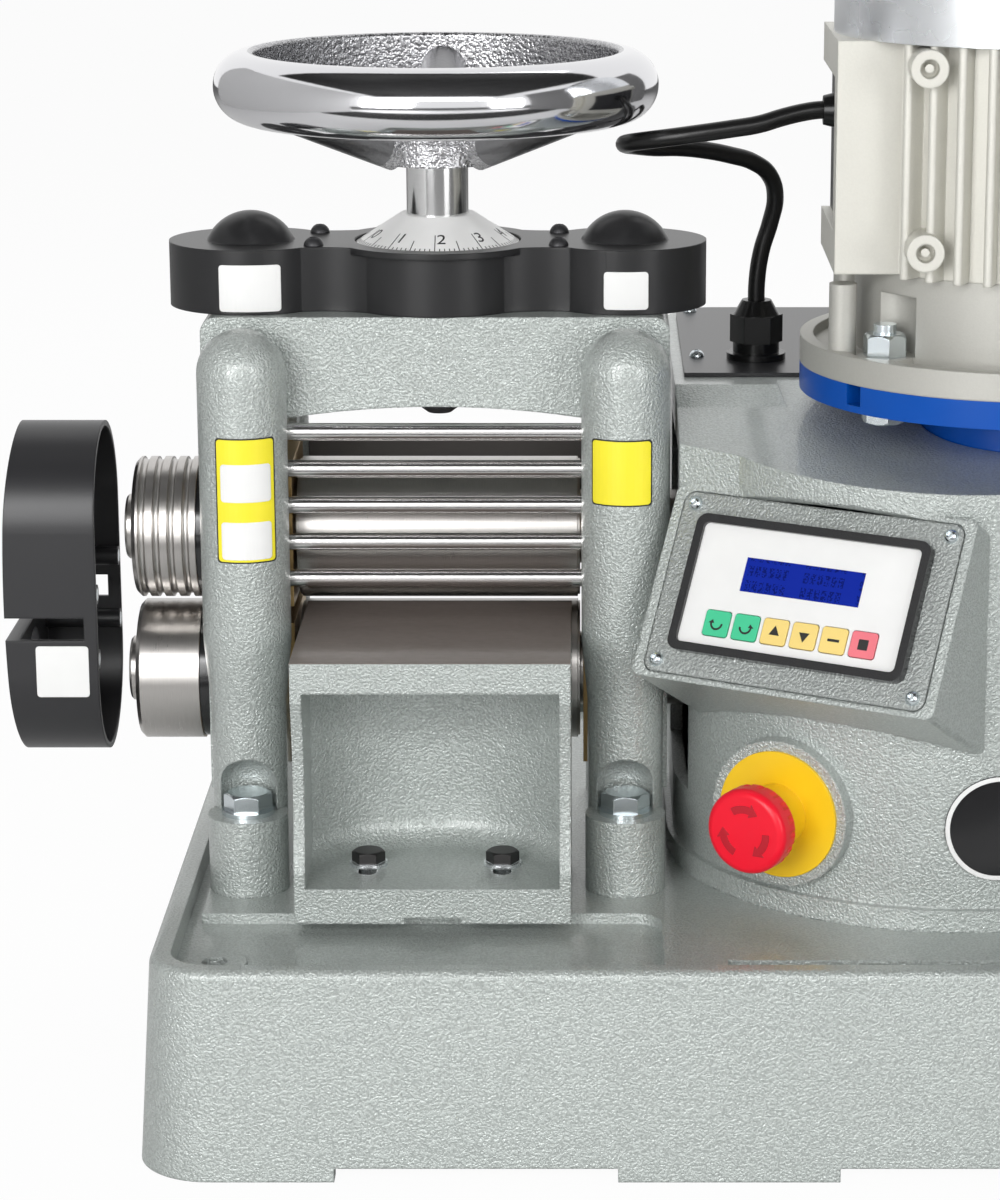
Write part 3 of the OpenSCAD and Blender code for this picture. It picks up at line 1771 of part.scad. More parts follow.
module motor_body() {
  lug_d = 16;
  lug_at = [-52, 70];
  lug_z = [13.5, body_l - 9];
  color([0.80, 0.80, 0.77])
    at_motor()
      translate([0, 0, body_z])
        difference() {
          union() {
            linear_extrude(body_l)
              body_plan();
            for (y = [-1, 1], z = lug_z)
              translate([lug_at[0], y * lug_at[1], z])
                rotate([-y * 90, 0, 0])
                  translate([0, 0, -20])
                    cylinder(d = lug_d, h = 26);
          }
          translate([0, 0, -1])
            cylinder(r = rotor_r + 1, h = body_l + 2);
          for (y = [-1, 1], z = lug_z)
            translate([lug_at[0], y * lug_at[1], z])
              rotate([-y * 90, 0, 0])
                difference() {
                  cylinder(d = lug_d / 2, h = 7);
                  cylinder(d = lug_d / 4, h = 4);
                }
          translate([-pad_x - 1, -lid_front, lid_mid_z - body_z - lid_h / 2 - bolt_gap])
            cube([1 + lid_sink + lid_t, 2 * pad_half_y, lid_h + 2 * bolt_gap]);
        }
}

module terminal_lid() {
  color([0.06, 0.06, 0.06])
    at_motor()
      translate([-pad_x + lid_sink, bolt_gap - lid_front, lid_mid_z - lid_h / 2])
        cube([lid_t, lid_front + pad_half_y, lid_h]);
}

module fan_cowl() {
  round_r = 12;
  hole_d = 8;
  color([0.86, 0.87, 0.90])
    at_motor()
      translate([0, 0, cowl_z])
        difference() {
          rotate_extrude($fn = 128)
            difference() {
              union() {
                square([cowl_r, cowl_l - round_r]);
                square([cowl_r - round_r, cowl_l]);
                translate([cowl_r - round_r, cowl_l - round_r])
                  circle(r = round_r);
              }
              square([cowl_r - cowl_t, cowl_l - round_r]);
              square([cowl_r - round_r, cowl_l - cowl_t]);
              translate([cowl_r - round_r, cowl_l - round_r])
                circle(r = round_r - cowl_t);
            }
          for (ring = [0:3], i = [0:max(1, 6 * ring) - 1])
            rotate([0, 0, i * 360 / max(1, 6 * ring)])
              translate([ring * 15, 0, cowl_l - 2 * cowl_t])
                cylinder(d = hole_d, h = 4 * cowl_t, $fn = 24);
        }
}

module motor_rotor() {
  shaft_low = case_low_z + 1;
  fan_z = cowl_z + 30;
  color([0.60, 0.60, 0.62])
    at_motor() {
      translate([0, 0, shaft_low])
        cylinder(d = motor_shaft_d, h = low_z - 26 - shaft_low);
      translate([0, 0, low_z - 26])
        cylinder(r = worm_r - 0.4, h = 52);
      for (i = [-4:4])
        translate([0, 0, low_z + i * 5.2 - 1.2])
          cylinder(r = worm_r, h = 2.4);
      translate([0, 0, low_z + 26])
        cylinder(d = motor_shaft_d, h = fan_z + 20 - low_z - 26);
      translate([0, 0, body_z + 2])
        cylinder(r = rotor_r, h = body_l - 4);
    }
}

module motor_fan() {
  fan_z = cowl_z + 30;
  blade_r = cowl_r - 14;
  color([0.10, 0.10, 0.10])
    at_motor()
      translate([0, 0, fan_z])
        difference() {
          union() {
            cylinder(d = motor_shaft_d + 12, h = 18);
            cylinder(r = blade_r - 10, h = 3);
            for (a = [0:45:315])
              rotate([0, 0, a])
                translate([motor_shaft_d / 2 + 3, -1.2, 0])
                  cube([blade_r - motor_shaft_d / 2 - 3, 2.4, 18]);
          }
          translate([0, 0, -1])
            cylinder(d = motor_shaft_d + 2 * bolt_gap, h = 20);
        }
}

module worm_wheel() {
  wheel_w = 24;
  color([0.72, 0.56, 0.30])
    at_motor()
      translate([0, worm_offset, low_z])
        difference() {
          bar_x(-wheel_w / 2, wheel_w / 2, 2 * worm_wheel_r);
          bar_x(-wheel_w, wheel_w, journal_d + 2 * bolt_gap);
        }
}

// Motor lead and its glands

module cable_glands() {
  seat = housing_top + rear_t;
  color([0.04, 0.04, 0.04]) {
    translate([gland_at[0], gland_at[1], seat])
      difference() {
        union() {
          cylinder(r = gland_flange_r, h = 3);
          cylinder(r = gland_flange_r - 3, h = 8);
          translate([0, 0, 8])
            cylinder(d = 25, h = 13, $fn = 6);
          translate([0, 0, 21])
            cylinder(r1 = 11, r2 = 7, h = gland_h - 21);
          translate([0, 0, -10])
            cylinder(r = gland_flange_r - 4.2, h = 11);
        }
        translate([0, 0, 18])
          cylinder(d = cable_d + 2 * bolt_gap, h = gland_h);
      }
    translate([lid_x, motor_at[1] + lid_gland_at[0], lid_mid_z + lid_gland_at[1]])
      rotate([0, -90, 0])
        difference() {
          cylinder(d1 = 16, d2 = 13, h = 6);
          translate([0, 0, 2])
            cylinder(d = cable_d + 2 * bolt_gap, h = 6);
        }
  }
}

function unit(v) = v / norm(v);

// Direction of the lead's route at point i.
function route_dir(i) =
  unit(cable_route[min(i + 1, len(cable_route) - 1)] - cable_route[max(i - 1, 0)]);

// One ring of the lead's tube round point i.
function ring(i) =
  let (
    t = route_dir(i),
    side = unit(cross(t, [0.3, 1, 0.1])),
    up = cross(side, t))
  [for (k = [0:cable_sides - 1])
    cable_route[i] + cable_d / 2 * (side * cos(k * 360 / cable_sides) + up * sin(k * 360 / cable_sides))];

module motor_cable() {
  n = len(cable_route);
  m = cable_sides;
  color([0.03, 0.03, 0.03])
    polyhedron(
      points = [for (i = [0:n - 1]) each ring(i)],
      faces = concat(
        [[for (k = [0:m - 1]) k]],
        [for (i = [0:n - 2], k = [0:m - 1])
          [i * m + k, (i + 1) * m + k, (i + 1) * m + (k + 1) % m, i * m + (k + 1) % m]],
        [[for (k = [m - 1:-1:0]) (n - 1) * m + k]]));
}

base_casting();
mill_frame();
frame_bolts();
rest_table();
table_bolts();
guide_bars();
lower_blocks();
gear_cover();
cover_screws();
gear_housing();
panel_plate();
case_screws();
keypad_bezel();
keypad_face();
lcd_window();
stop_plate();
badge_disc();
rear_cover();
cable_glands();
motor_cable();
reducer_case();
motor_flange();
motor_body();
terminal_lid();
fan_cowl();
motor_bolts();
rear_shield();
handwheel();
handwheel_shaft();
dial();
shaft_retainer();
idler_left();
idler_right();
lifting_nut_left();
lifting_nut_right();
upper_blocks();
lifting_screws();
top_roll();
top_side_roll();
top_spacer();
top_roll_gear();
bottom_roll();
bottom_side_roll();
bottom_spacer();
bottom_roll_gear();
worm_wheel();
motor_rotor();
motor_fan();
guard();
guard_magnets();
stop_stem();
stop_head();
key_1();
key_2();
key_3();
key_4();
key_5();
key_6();
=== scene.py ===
"""Looks of a motor-driven bench rolling mill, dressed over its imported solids.

Lengths are in metres, in the frame of the solids: +Z is up, the front faces -Y, and the
origin is the middle of the bench bolts.
"""

from __future__ import annotations

import logging
import math
from dataclasses import dataclass
from enum import Enum
from typing import Any, Callable, Sequence

import bpy
from mathutils import Matrix, Vector

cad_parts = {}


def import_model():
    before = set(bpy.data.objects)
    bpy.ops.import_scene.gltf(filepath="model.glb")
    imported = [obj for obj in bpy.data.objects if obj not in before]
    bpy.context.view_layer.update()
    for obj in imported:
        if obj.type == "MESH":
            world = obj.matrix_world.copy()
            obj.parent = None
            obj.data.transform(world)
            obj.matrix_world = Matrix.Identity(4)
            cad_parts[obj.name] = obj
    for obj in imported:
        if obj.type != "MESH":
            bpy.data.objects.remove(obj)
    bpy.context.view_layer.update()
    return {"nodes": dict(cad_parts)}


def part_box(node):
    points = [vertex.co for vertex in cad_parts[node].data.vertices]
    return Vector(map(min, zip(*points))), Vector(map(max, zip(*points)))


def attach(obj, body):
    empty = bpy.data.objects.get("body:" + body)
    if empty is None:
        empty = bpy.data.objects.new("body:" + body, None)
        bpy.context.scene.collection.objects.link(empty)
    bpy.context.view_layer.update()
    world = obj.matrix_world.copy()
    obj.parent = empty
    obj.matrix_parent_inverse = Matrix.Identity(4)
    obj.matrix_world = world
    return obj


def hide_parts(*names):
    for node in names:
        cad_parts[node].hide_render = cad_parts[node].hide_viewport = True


LOG = logging.getLogger("rolling_mill")

Colour = tuple[float, float, float]
Point = tuple[float, float, float]
MM = 0.001

# The control panel's middle, its turn to the right and its lean back.
PANEL_AT: Point = (0.032, -0.137, 0.2335)
PANEL_YAW = math.radians(30.7)
PANEL_TILT = math.radians(28.8)


class Grain(Enum):
    """The way that grinding or drawing lines run on a metal surface."""

    ROUND_X = (1.0, 0.03, 0.03)
    ROUND_Z = (0.03, 0.03, 1.0)
    ALONG_X = (0.03, 1.0, 1.0)
    NONE = (1.0, 1.0, 1.0)


class Wire:
    """A shader socket that can stand in a Python expression."""

    def __init__(self, graph: "Graph", socket: bpy.types.NodeSocket) -> None:
        """Keeps the graph and the output socket."""
        self.graph = graph
        self.socket = socket

    def __add__(self, other: Any) -> "Wire":
        """Adds a number or wire."""
        return self.graph.math("ADD", self, other)

    def __radd__(self, other: Any) -> "Wire":
        """Adds to a number."""
        return self.graph.math("ADD", other, self)

    def __sub__(self, other: Any) -> "Wire":
        """Takes a number or wire away."""
        return self.graph.math("SUBTRACT", self, other)

    def __rsub__(self, other: Any) -> "Wire":
        """Takes this away from a number."""
        return self.graph.math("SUBTRACT", other, self)

    def __mul__(self, other: Any) -> "Wire":
        """Multiplies by a number or wire."""
        return self.graph.math("MULTIPLY", self, other)

    def __rmul__(self, other: Any) -> "Wire":
        """Multiplies a number."""
        return self.graph.math("MULTIPLY", other, self)

    def __gt__(self, other: Any) -> "Wire":
        """Gives 1 where this is greater, else 0."""
        return self.graph.math("GREATER_THAN", self, other)

    def __lt__(self, other: Any) -> "Wire":
        """Gives 1 where this is less, else 0."""
        return self.graph.math("LESS_THAN", self, other)

    def __mod__(self, other: Any) -> "Wire":
        """Gives the remainder, always positive."""
        return self.graph.math("FLOORED_MODULO", self, other)


class Graph:
    """The node tree of a material or a world, built by expressions."""

    def __init__(self, owner: bpy.types.Material | bpy.types.World) -> None:
        """Starts an empty tree.

        Args:
            owner: the new material or world.
        """
        self.owner = owner
        owner.use_nodes = True
        self.tree = owner.node_tree
        self.tree.nodes.clear()

    @classmethod
    def of_material(cls, name: str) -> "Graph":
        """Starts a new material's tree."""
        return cls(bpy.data.materials.new(name))

    def feed(self, socket: bpy.types.NodeSocket, value: Any) -> None:
        """Links a wire to a socket, or sets the socket's own value."""
        if isinstance(value, Wire):
            self.tree.links.new(value.socket, socket)
        else:
            socket.default_value = value

    def node(
        self,
        kind: str,
        settings: dict[str, Any] | None = None,
        inputs: dict[str | int, Any] | None = None,
        output: str | int = 0,
    ) -> Wire:
        """Adds any node.

        Args:
            kind: the node's type name.
            settings: its settings, set first; "stops" are a ramp's positions and colours.
            inputs: values or wires of its sockets.
            output: which output to give back.

        Returns:
            The node's output as a wire.
        """
        made = self.tree.nodes.new(kind)
        for key, value in (settings or {}).items():
            if key == "stops":
                self._set_stops(made.color_ramp, value)
            else:
                setattr(made, key, value)
        for key, value in (inputs or {}).items():
            self.feed(made.inputs[key], value)
        return Wire(self, made.outputs[output])

    @staticmethod
    def _set_stops(ramp: bpy.types.ColorRamp, stops: Sequence[tuple[float, float]]) -> None:
        """Sets a grey ramp's stops, each a position and a grey level."""
        while len(ramp.elements) < len(stops):
            ramp.elements.new(1.0)
        for element, (position, level) in zip(ramp.elements, stops):
            element.position = position
            element.color = (level, level, level, 1.0)

    def math(self, operation: str, first: Any, second: Any = 0.0) -> Wire:
        """Adds one Math node on numbers or wires."""
        return self.node("ShaderNodeMath", {"operation": operation}, {0: first, 1: second})

    def place(self, stretch: Sequence[float] = (1.0, 1.0, 1.0)) -> Wire:
        """Gives Object coordinates, scaled along each axis."""
        at = self.node("ShaderNodeTexCoord", output="Object")
        return self.node("ShaderNodeMapping", inputs={"Vector": at, "Scale": tuple(stretch)})

    def axis(self, name: str) -> Wire:
        """Gives one Object coordinate, "X", "Y" or "Z"."""
        at = self.node("ShaderNodeTexCoord", output="Object")
        return self.node("ShaderNodeSeparateXYZ", inputs={0: at}, output=name)

    def noise(self, at: Wire, cell: float, detail: float = 2.0) -> Wire:
        """Gives noise from 0 to 1 with features about one cell long."""
        inputs = {"Vector": at, "Scale": 1.0 / cell, "Detail": detail, "Roughness": 0.55}
        return self.node("ShaderNodeTexNoise", inputs=inputs)

    def ramp(self, value: Wire, stops: Sequence[tuple[float, float]]) -> Wire:
        """Bends a value through grey stops."""
        return self.node("ShaderNodeValToRGB", {"stops": stops}, {"Fac": value})

    def blend(self, first: Any, second: Any, share: Any) -> Wire:
        """Mixes two colours by a share."""
        inputs = {0: share, 6: opaque(first), 7: opaque(second)}
        return self.node("ShaderNodeMix", {"data_type": "RGBA"}, inputs, 2)

    def from_axis(self, axis: tuple[float, float]) -> Wire:
        """Gives the distance from an upright axis through a point on the floor."""
        across = self.axis("X") - axis[0]
        along = self.axis("Y") - axis[1]
        return self.math("SQRT", across * across + along * along)

    def soft_edges(self, radius: float) -> Wire:
        """Gives a normal that rounds the solid's sharp edges."""
        return self.node("ShaderNodeBevel", {"samples": 4}, {"Radius": radius})

    def bump(self, height: Wire, depth: float, under: Wire | None = None) -> Wire:
        """Gives the normal of a height field that is depth deep."""
        inputs: dict[str | int, Any] = {"Height": height, "Strength": 1.0, "Distance": depth}
        if under is not None:
            inputs["Normal"] = under
        return self.node("ShaderNodeBump", inputs=inputs)

    def light_path(self, ray: str) -> Wire:
        """Gives 1 for rays of one kind, such as "Is Camera Ray", else 0."""
        return self.node("ShaderNodeLightPath", output=ray)

    def show(self, shader: Wire) -> Any:
        """Links a shader to the tree's output and gives the material or world."""
        kind = "World" if isinstance(self.owner, bpy.types.World) else "Material"
        output = self.tree.nodes.new(f"ShaderNodeOutput{kind}")
        self.feed(output.inputs["Surface"], shader)
        return self.owner

    def dress(self, **sockets: Any) -> bpy.types.Material:
        """Adds a principled shader and gives the finished material.

        Args:
            **sockets: socket names with _ for a space, such as Base_Color.

        Returns:
            The finished material.
        """
        inputs = {key.replace("_", " "): value for key, value in sockets.items()}
        inputs["Base Color"] = opaque(inputs["Base Color"])
        return self.show(self.node("ShaderNodeBsdfPrincipled", inputs=inputs))


def opaque(colour: Any) -> Any:
    """Adds full alpha to a plain colour, and leaves a wire alone."""
    return colour if isinstance(colour, Wire) else (*colour, 1.0)


def shade(colour: Colour, factor: float) -> Colour:
    """Gives a colour darker or lighter by a factor."""
    return tuple(min(1.0, c * factor) for c in colour)


@dataclass(frozen=True)
class Finish:
    """What every finish has: a name and a main colour."""

    name: str
    colour: Colour

    def material(self) -> bpy.types.Material:
        """Builds the finish as a material."""
        raise NotImplementedError


@dataclass(frozen=True)
class HammeredPaint(Finish):
    """Enamel that dries to a hammered skin, over a casting with soft edges."""

    pebble: float = 1.15 * MM
    depth: float = 0.36 * MM
    edge: float = 1.5 * MM
    # Darker in the hollows and lighter on the crests: partly the hammered skin's own tone, partly painted
    # shade and painted highlight.
    hollow_tone: float = 0.83
    crest_tone: float = 1.11
    stain: float = 60 * MM
    stain_tone: float = 0.84
    stain_share: float = 0.4
    # Sparse light specks: painted glints on the paint.
    dust: float = 1.4 * MM
    dust_over: float = 0.735
    dust_tone: float = 1.45
    dust_share: float = 0.5
    rough: float = 0.27
    rough_spread: float = 0.14
    metallic: float = 0.30
    coat: float = 0.50
    coat_rough: float = 0.13
    machined_above: float | None = None
    machined_colour: Colour = (0.20, 0.168, 0.152)
    machined_rougher: float = 0.16
    machined_relief: float = 0.06

    def material(self) -> bpy.types.Material:
        """Builds wrinkles toned partly by the skin and partly by painted shade and highlight, painted
        glints as light specks, faint stains, and a bare machined top where there is one.
        """
        graph = Graph.of_material(self.name)
        at = graph.place()
        wrinkle = graph.ramp(graph.noise(at, self.pebble, 1.2), [(0.36, 0.0), (0.64, 1.0)])
        height = wrinkle * 0.8 + graph.noise(at, 0.6 * MM) * 0.2
        stain = graph.noise(at, self.stain, 3.0)
        dust = graph.noise(at, self.dust, 1.0) > self.dust_over
        # Tone follows the wrinkles: partly the skin's own, partly painted shade in the hollows and
        # painted highlight on the crests.
        paint = graph.blend(
            shade(self.colour, self.hollow_tone), shade(self.colour, self.crest_tone), wrinkle)
        paint = graph.blend(paint, shade(self.colour, self.stain_tone), stain * self.stain_share)
        # Sparse light specks over the paint are painted glints.
        paint = graph.blend(paint, shade(self.colour, self.dust_tone), dust * self.dust_share)
        rough = self.rough + graph.noise(at, 4 * MM) * self.rough_spread
        if self.machined_above is not None:
            bare = graph.axis("Z") > self.machined_above
            lines = graph.noise(graph.place(Grain.ALONG_X.value), 0.5 * MM)
            steel = graph.blend(
                shade(self.machined_colour, 0.8), shade(self.machined_colour, 1.25), lines)
            paint = graph.blend(paint, steel, bare)
            rough = rough + bare * self.machined_rougher
            height = height * (1 - bare) + lines * bare * self.machined_relief
        normal = graph.bump(height, self.depth, graph.soft_edges(self.edge))
        return graph.dress(
            Base_Color=paint, Roughness=rough, Metallic=self.metallic, Normal=normal,
            Coat_Weight=self.coat, Coat_Roughness=self.coat_rough)


@dataclass(frozen=True)
class WorkedMetal(Finish):
    """Bare metal: ground, drawn, cast or plated."""

    rough: float = 0.2
    grain: Grain = Grain.NONE
    line: float = 0.25 * MM
    depth: float = 0.004 * MM
    variation: float = 0.12
    metallic: float = 1.0
    edge: float = 0.5 * MM
    cloud: float = 14 * MM
    even_share: float = 0.75
    line_share: float = 0.35
    cloud_share: float = 0.2

    def material(self) -> bpy.types.Material:
        """Builds fine lines along the grain, with uneven gloss."""
        graph = Graph.of_material(self.name)
        lines = graph.noise(graph.place(self.grain.value), self.line, 3.0)
        cloud = graph.noise(graph.place(), self.cloud, 2.0)
        tint = graph.blend(
            shade(self.colour, 1 + self.variation), shade(self.colour, 1 - self.variation), lines)
        rough = self.rough * self.even_share + lines * self.rough * self.line_share
        rough = rough + cloud * self.rough * self.cloud_share
        normal = graph.bump(lines, self.depth, graph.soft_edges(self.edge))
        return graph.dress(
            Base_Color=tint, Roughness=rough, Metallic=self.metallic, Normal=normal)


@dataclass(frozen=True)
class PlatedCasting(Finish):
    """Chrome over a casting: polished outside, left rough within a radius."""

    axis: tuple[float, float] = (-0.128, -0.010)
    cast_within: float = 84.3 * MM
    spokes_within: float = 81.4 * MM
    hub_within: float = 30 * MM
    grain: float = 1.6 * MM
    depth: float = 0.20 * MM
    edge: float = 0.8 * MM
    smear: float = 22 * MM
    # Darker cast parts: partly duller cast plating, partly painted dark reflection.
    cast_tone: float = 0.62
    # The spokes are painted darker: a painted dark reflection.
    spoke_tone: float = 0.34
    rough: float = 0.06

    def material(self) -> bpy.types.Material:
        """Builds a mirror with faint wear, cast grain on the inner wall and hub, dull spokes, and painted
        dark reflection on the cast parts, darkest on the spokes.
        """
        graph = Graph.of_material(self.name)
        at = graph.place()
        radius = graph.from_axis(self.axis)
        cast = radius < self.cast_within
        spoke = (radius < self.spokes_within) * (radius > self.hub_within)
        grain = graph.ramp(graph.noise(at, self.grain, 1.5), [(0.38, 0.0), (0.62, 1.0)])
        smear = graph.noise(at, self.smear)
        # The cast parts are darker: partly duller cast plating, partly painted dark reflection.
        tint = graph.blend(
            self.colour, shade(self.colour, self.cast_tone), cast * (1 - grain * 0.5))
        # The spokes are painted darker still: a painted dark reflection.
        tint = graph.blend(tint, shade(self.colour, self.spoke_tone), spoke * 0.9)
        rough = self.rough + smear * 0.05 + cast * (0.12 + grain * 0.08) + spoke * 0.10
        height = grain * cast * (1 - spoke * 0.8)
        normal = graph.bump(height, self.depth, graph.soft_edges(self.edge))
        return graph.dress(Base_Color=tint, Roughness=rough, Metallic=1.0, Normal=normal)


@dataclass(frozen=True)
class WasherBolt(Finish):
    """A dark bolt head on a bright washer."""

    washer_top: float = 103.7 * MM
    washer_colour: Colour = (0.74, 0.76, 0.78)
    rough: float = 0.36
    washer_smoother: float = 0.14
    grain: float = 0.5 * MM
    depth: float = 0.01 * MM
    edge: float = 0.5 * MM
    metallic: float = 0.9

    def material(self) -> bpy.types.Material:
        """Builds black oxide above the washer and bright zinc in it."""
        graph = Graph.of_material(self.name)
        bright = graph.axis("Z") < self.washer_top
        fine = graph.noise(graph.place(), self.grain)
        dark = graph.blend(shade(self.colour, 0.7), shade(self.colour, 1.5), fine)
        tint = graph.blend(dark, self.washer_colour, bright)
        rough = self.rough + fine * 0.12 - bright * self.washer_smoother
        normal = graph.bump(fine, self.depth, graph.soft_edges(self.edge))
        return graph.dress(
            Base_Color=tint, Roughness=rough, Metallic=self.metallic, Normal=normal)


@dataclass(frozen=True)
class Plastic(Finish):
    """Moulded plastic, film or enamel with a fine grain."""

    rough: float = 0.4
    grain: float = 0.5 * MM
    depth: float = 0.02 * MM
    coat: float = 0.0
    coat_rough: float = 0.08
    drift: float = 25 * MM
    variation: float = 0.06
    edge: float = 0.5 * MM
    gleam: float = 0.5

    def material(self) -> bpy.types.Material:
        """Builds a grained skin with faint colour drift."""
        graph = Graph.of_material(self.name)
        at = graph.place()
        fine = graph.noise(at, self.grain)
        drift = graph.noise(at, self.drift)
        tint = graph.blend(
            shade(self.colour, 1 + self.variation), shade(self.colour, 1 - self.variation), drift)
        rough = self.rough * 0.85 + fine * self.rough * 0.3
        normal = graph.bump(fine, self.depth, graph.soft_edges(self.edge))
        return graph.dress(
            Base_Color=tint, Roughness=rough, Normal=normal, Coat_Weight=self.coat,
            Coat_Roughness=self.coat_rough, Specular_IOR_Level=self.gleam)


@dataclass(frozen=True)
class DisplayGlass(Finish):
    """A lit blue display with two rows of faint character cells."""

    cell: float = 3.35 * MM
    cell_filled: float = 0.76
    group: float = 26.8 * MM
    group_filled: float = 0.73
    row: float = 6.6 * MM
    row_filled: float = 0.7
    lowest_row: float = 1.2 * MM
    dot: float = 0.75 * MM
    dot_tone: float = 0.30
    glow: float = 0.22
    rough: float = 0.3
    gleam: float = 0.06

    def material(self) -> bpy.types.Material:
        """Builds the glow with two rows of darker dots, grouped as characters."""
        graph = Graph.of_material(self.name)
        x, y, z = PANEL_AT
        along = (graph.axis("X") - x) * math.cos(PANEL_YAW)
        along = along - (graph.axis("Y") - y) * math.sin(PANEL_YAW)
        up = (graph.axis("Z") - z) * (1 / math.cos(PANEL_TILT)) - self.lowest_row
        in_group = along % self.group < self.group * self.group_filled
        in_row = up % self.row < self.row * self.row_filled
        in_cell = along % self.cell < self.cell * self.cell_filled
        dots = graph.noise(graph.place(), self.dot, 0.5) > 0.49
        dark = in_group * in_row * in_cell * dots
        tint = graph.blend(self.colour, shade(self.colour, self.dot_tone), dark * 0.8)
        return graph.dress(
            Base_Color=tint, Roughness=self.rough, Emission_Color=tint,
            Emission_Strength=self.glow, Specular_IOR_Level=self.gleam)


class Palette:
    """All finishes of the mill, each made once."""

    casting = HammeredPaint("casting_paint", (0.485, 0.522, 0.503))
    panel_paint = HammeredPaint("panel_paint", (0.375, 0.40, 0.388))
    table = HammeredPaint("table_paint", (0.485, 0.522, 0.503), machined_above=0.2046)
    ground_steel = WorkedMetal("ground_roll_steel", (0.56, 0.54, 0.52), 0.29, Grain.ROUND_X)
    bar_steel = WorkedMetal("drawn_bar_steel", (0.72, 0.71, 0.70), 0.17, Grain.ALONG_X)
    shaft_steel = WorkedMetal("bright_shaft", (0.78, 0.78, 0.78), 0.14, Grain.ROUND_Z)
    zinc = WorkedMetal("bright_zinc", (0.74, 0.80, 0.83), 0.22, variation=0.18)
    oxide = WorkedMetal("black_oxide", (0.045, 0.045, 0.048), 0.42, metallic=0.6)
    bronze = WorkedMetal("bearing_bronze", (0.42, 0.29, 0.13), 0.36)
    chrome = PlatedCasting("polished_chrome", (0.74, 0.74, 0.76))
    dark_steel = WorkedMetal("dark_steel", (0.16, 0.15, 0.145), 0.38, Grain.ALONG_X, metallic=0.8)
    washer_bolt = WasherBolt("oxide_bolt", (0.05, 0.048, 0.048))
    alloy = WorkedMetal(
        "cast_alloy", (0.66, 0.65, 0.595), 0.46, line=0.9 * MM, depth=0.05 * MM, variation=0.04,
        metallic=0.25, edge=1.2 * MM)
    # A darker copy of the motor alloy: partly the flange's own tone, partly painted shade under the motor
    # body.
    flange_alloy = WorkedMetal(
        "flange_alloy", (0.47, 0.465, 0.43), 0.46, line=0.9 * MM, depth=0.05 * MM, variation=0.05,
        metallic=0.3, edge=1.2 * MM)
    cowl = WorkedMetal(
        "bright_sheet", (0.86, 0.88, 0.90), 0.27, line=40 * MM, depth=0.001 * MM, variation=0.03)
    black_grain = Plastic(
        "grained_black", (0.022, 0.022, 0.024), 0.36, depth=0.03 * MM, edge=1.2 * MM)
    black_cover = Plastic(
        "satin_black", (0.020, 0.020, 0.021), 0.32, depth=0.015 * MM, edge=1.2 * MM, gleam=0.34)
    black_gloss = Plastic("gloss_black", (0.012, 0.012, 0.013), 0.18, coat=0.3)
    gland_black = Plastic("gland_black", (0.008, 0.008, 0.008), 0.22, edge=0.6 * MM, gleam=0.3)
    black_paint = Plastic("black_paint", (0.020, 0.020, 0.022), 0.30, depth=0.01 * MM)
    rubber = Plastic("cable_sheath", (0.008, 0.008, 0.008), 0.30, depth=0.004 * MM, gleam=0.35)
    dial_white = Plastic("dial_white", (0.92, 0.92, 0.91), 0.34, coat=0.1)
    face_white = Plastic("face_film", (0.86, 0.86, 0.85), 0.42, depth=0.006 * MM)
    yellow = Plastic("safety_yellow", (0.96, 0.62, 0.012), 0.34, depth=0.008 * MM)
    plate_yellow = Plastic("plate_yellow", (0.94, 0.82, 0.03), 0.36, depth=0.006 * MM)
    red = Plastic(
        "button_red", (0.92, 0.008, 0.030), 0.30, depth=0.01 * MM, edge=0.8 * MM, gleam=0.35)
    # Darker red for the stop arrows: painted shade of a recess.
    red_deep = Plastic("button_red_recess_shade", (0.52, 0.006, 0.02), 0.36)
    key_green = Plastic("key_green", (0.06, 0.58, 0.30), 0.4)
    key_yellow = Plastic("key_yellow", (0.90, 0.68, 0.22), 0.4)
    key_red = Plastic("key_red", (0.86, 0.20, 0.24), 0.4)
    mark_black = Plastic("mark_black", (0.015, 0.015, 0.015), 0.45)
    blue = Plastic("blue_enamel", (0.002, 0.075, 0.40), 0.30, depth=0.03 * MM, gleam=0.22)
    display = DisplayGlass("blue_display", (0.006, 0.020, 0.27))

    def __init__(self) -> None:
        """Starts with no materials made."""
        self.made: dict[str, bpy.types.Material] = {}

    def get(self, finish: Finish) -> bpy.types.Material:
        """Gives the finish's material, made on first use."""
        if finish.name not in self.made:
            self.made[finish.name] = finish.material()
        return self.made[finish.name]


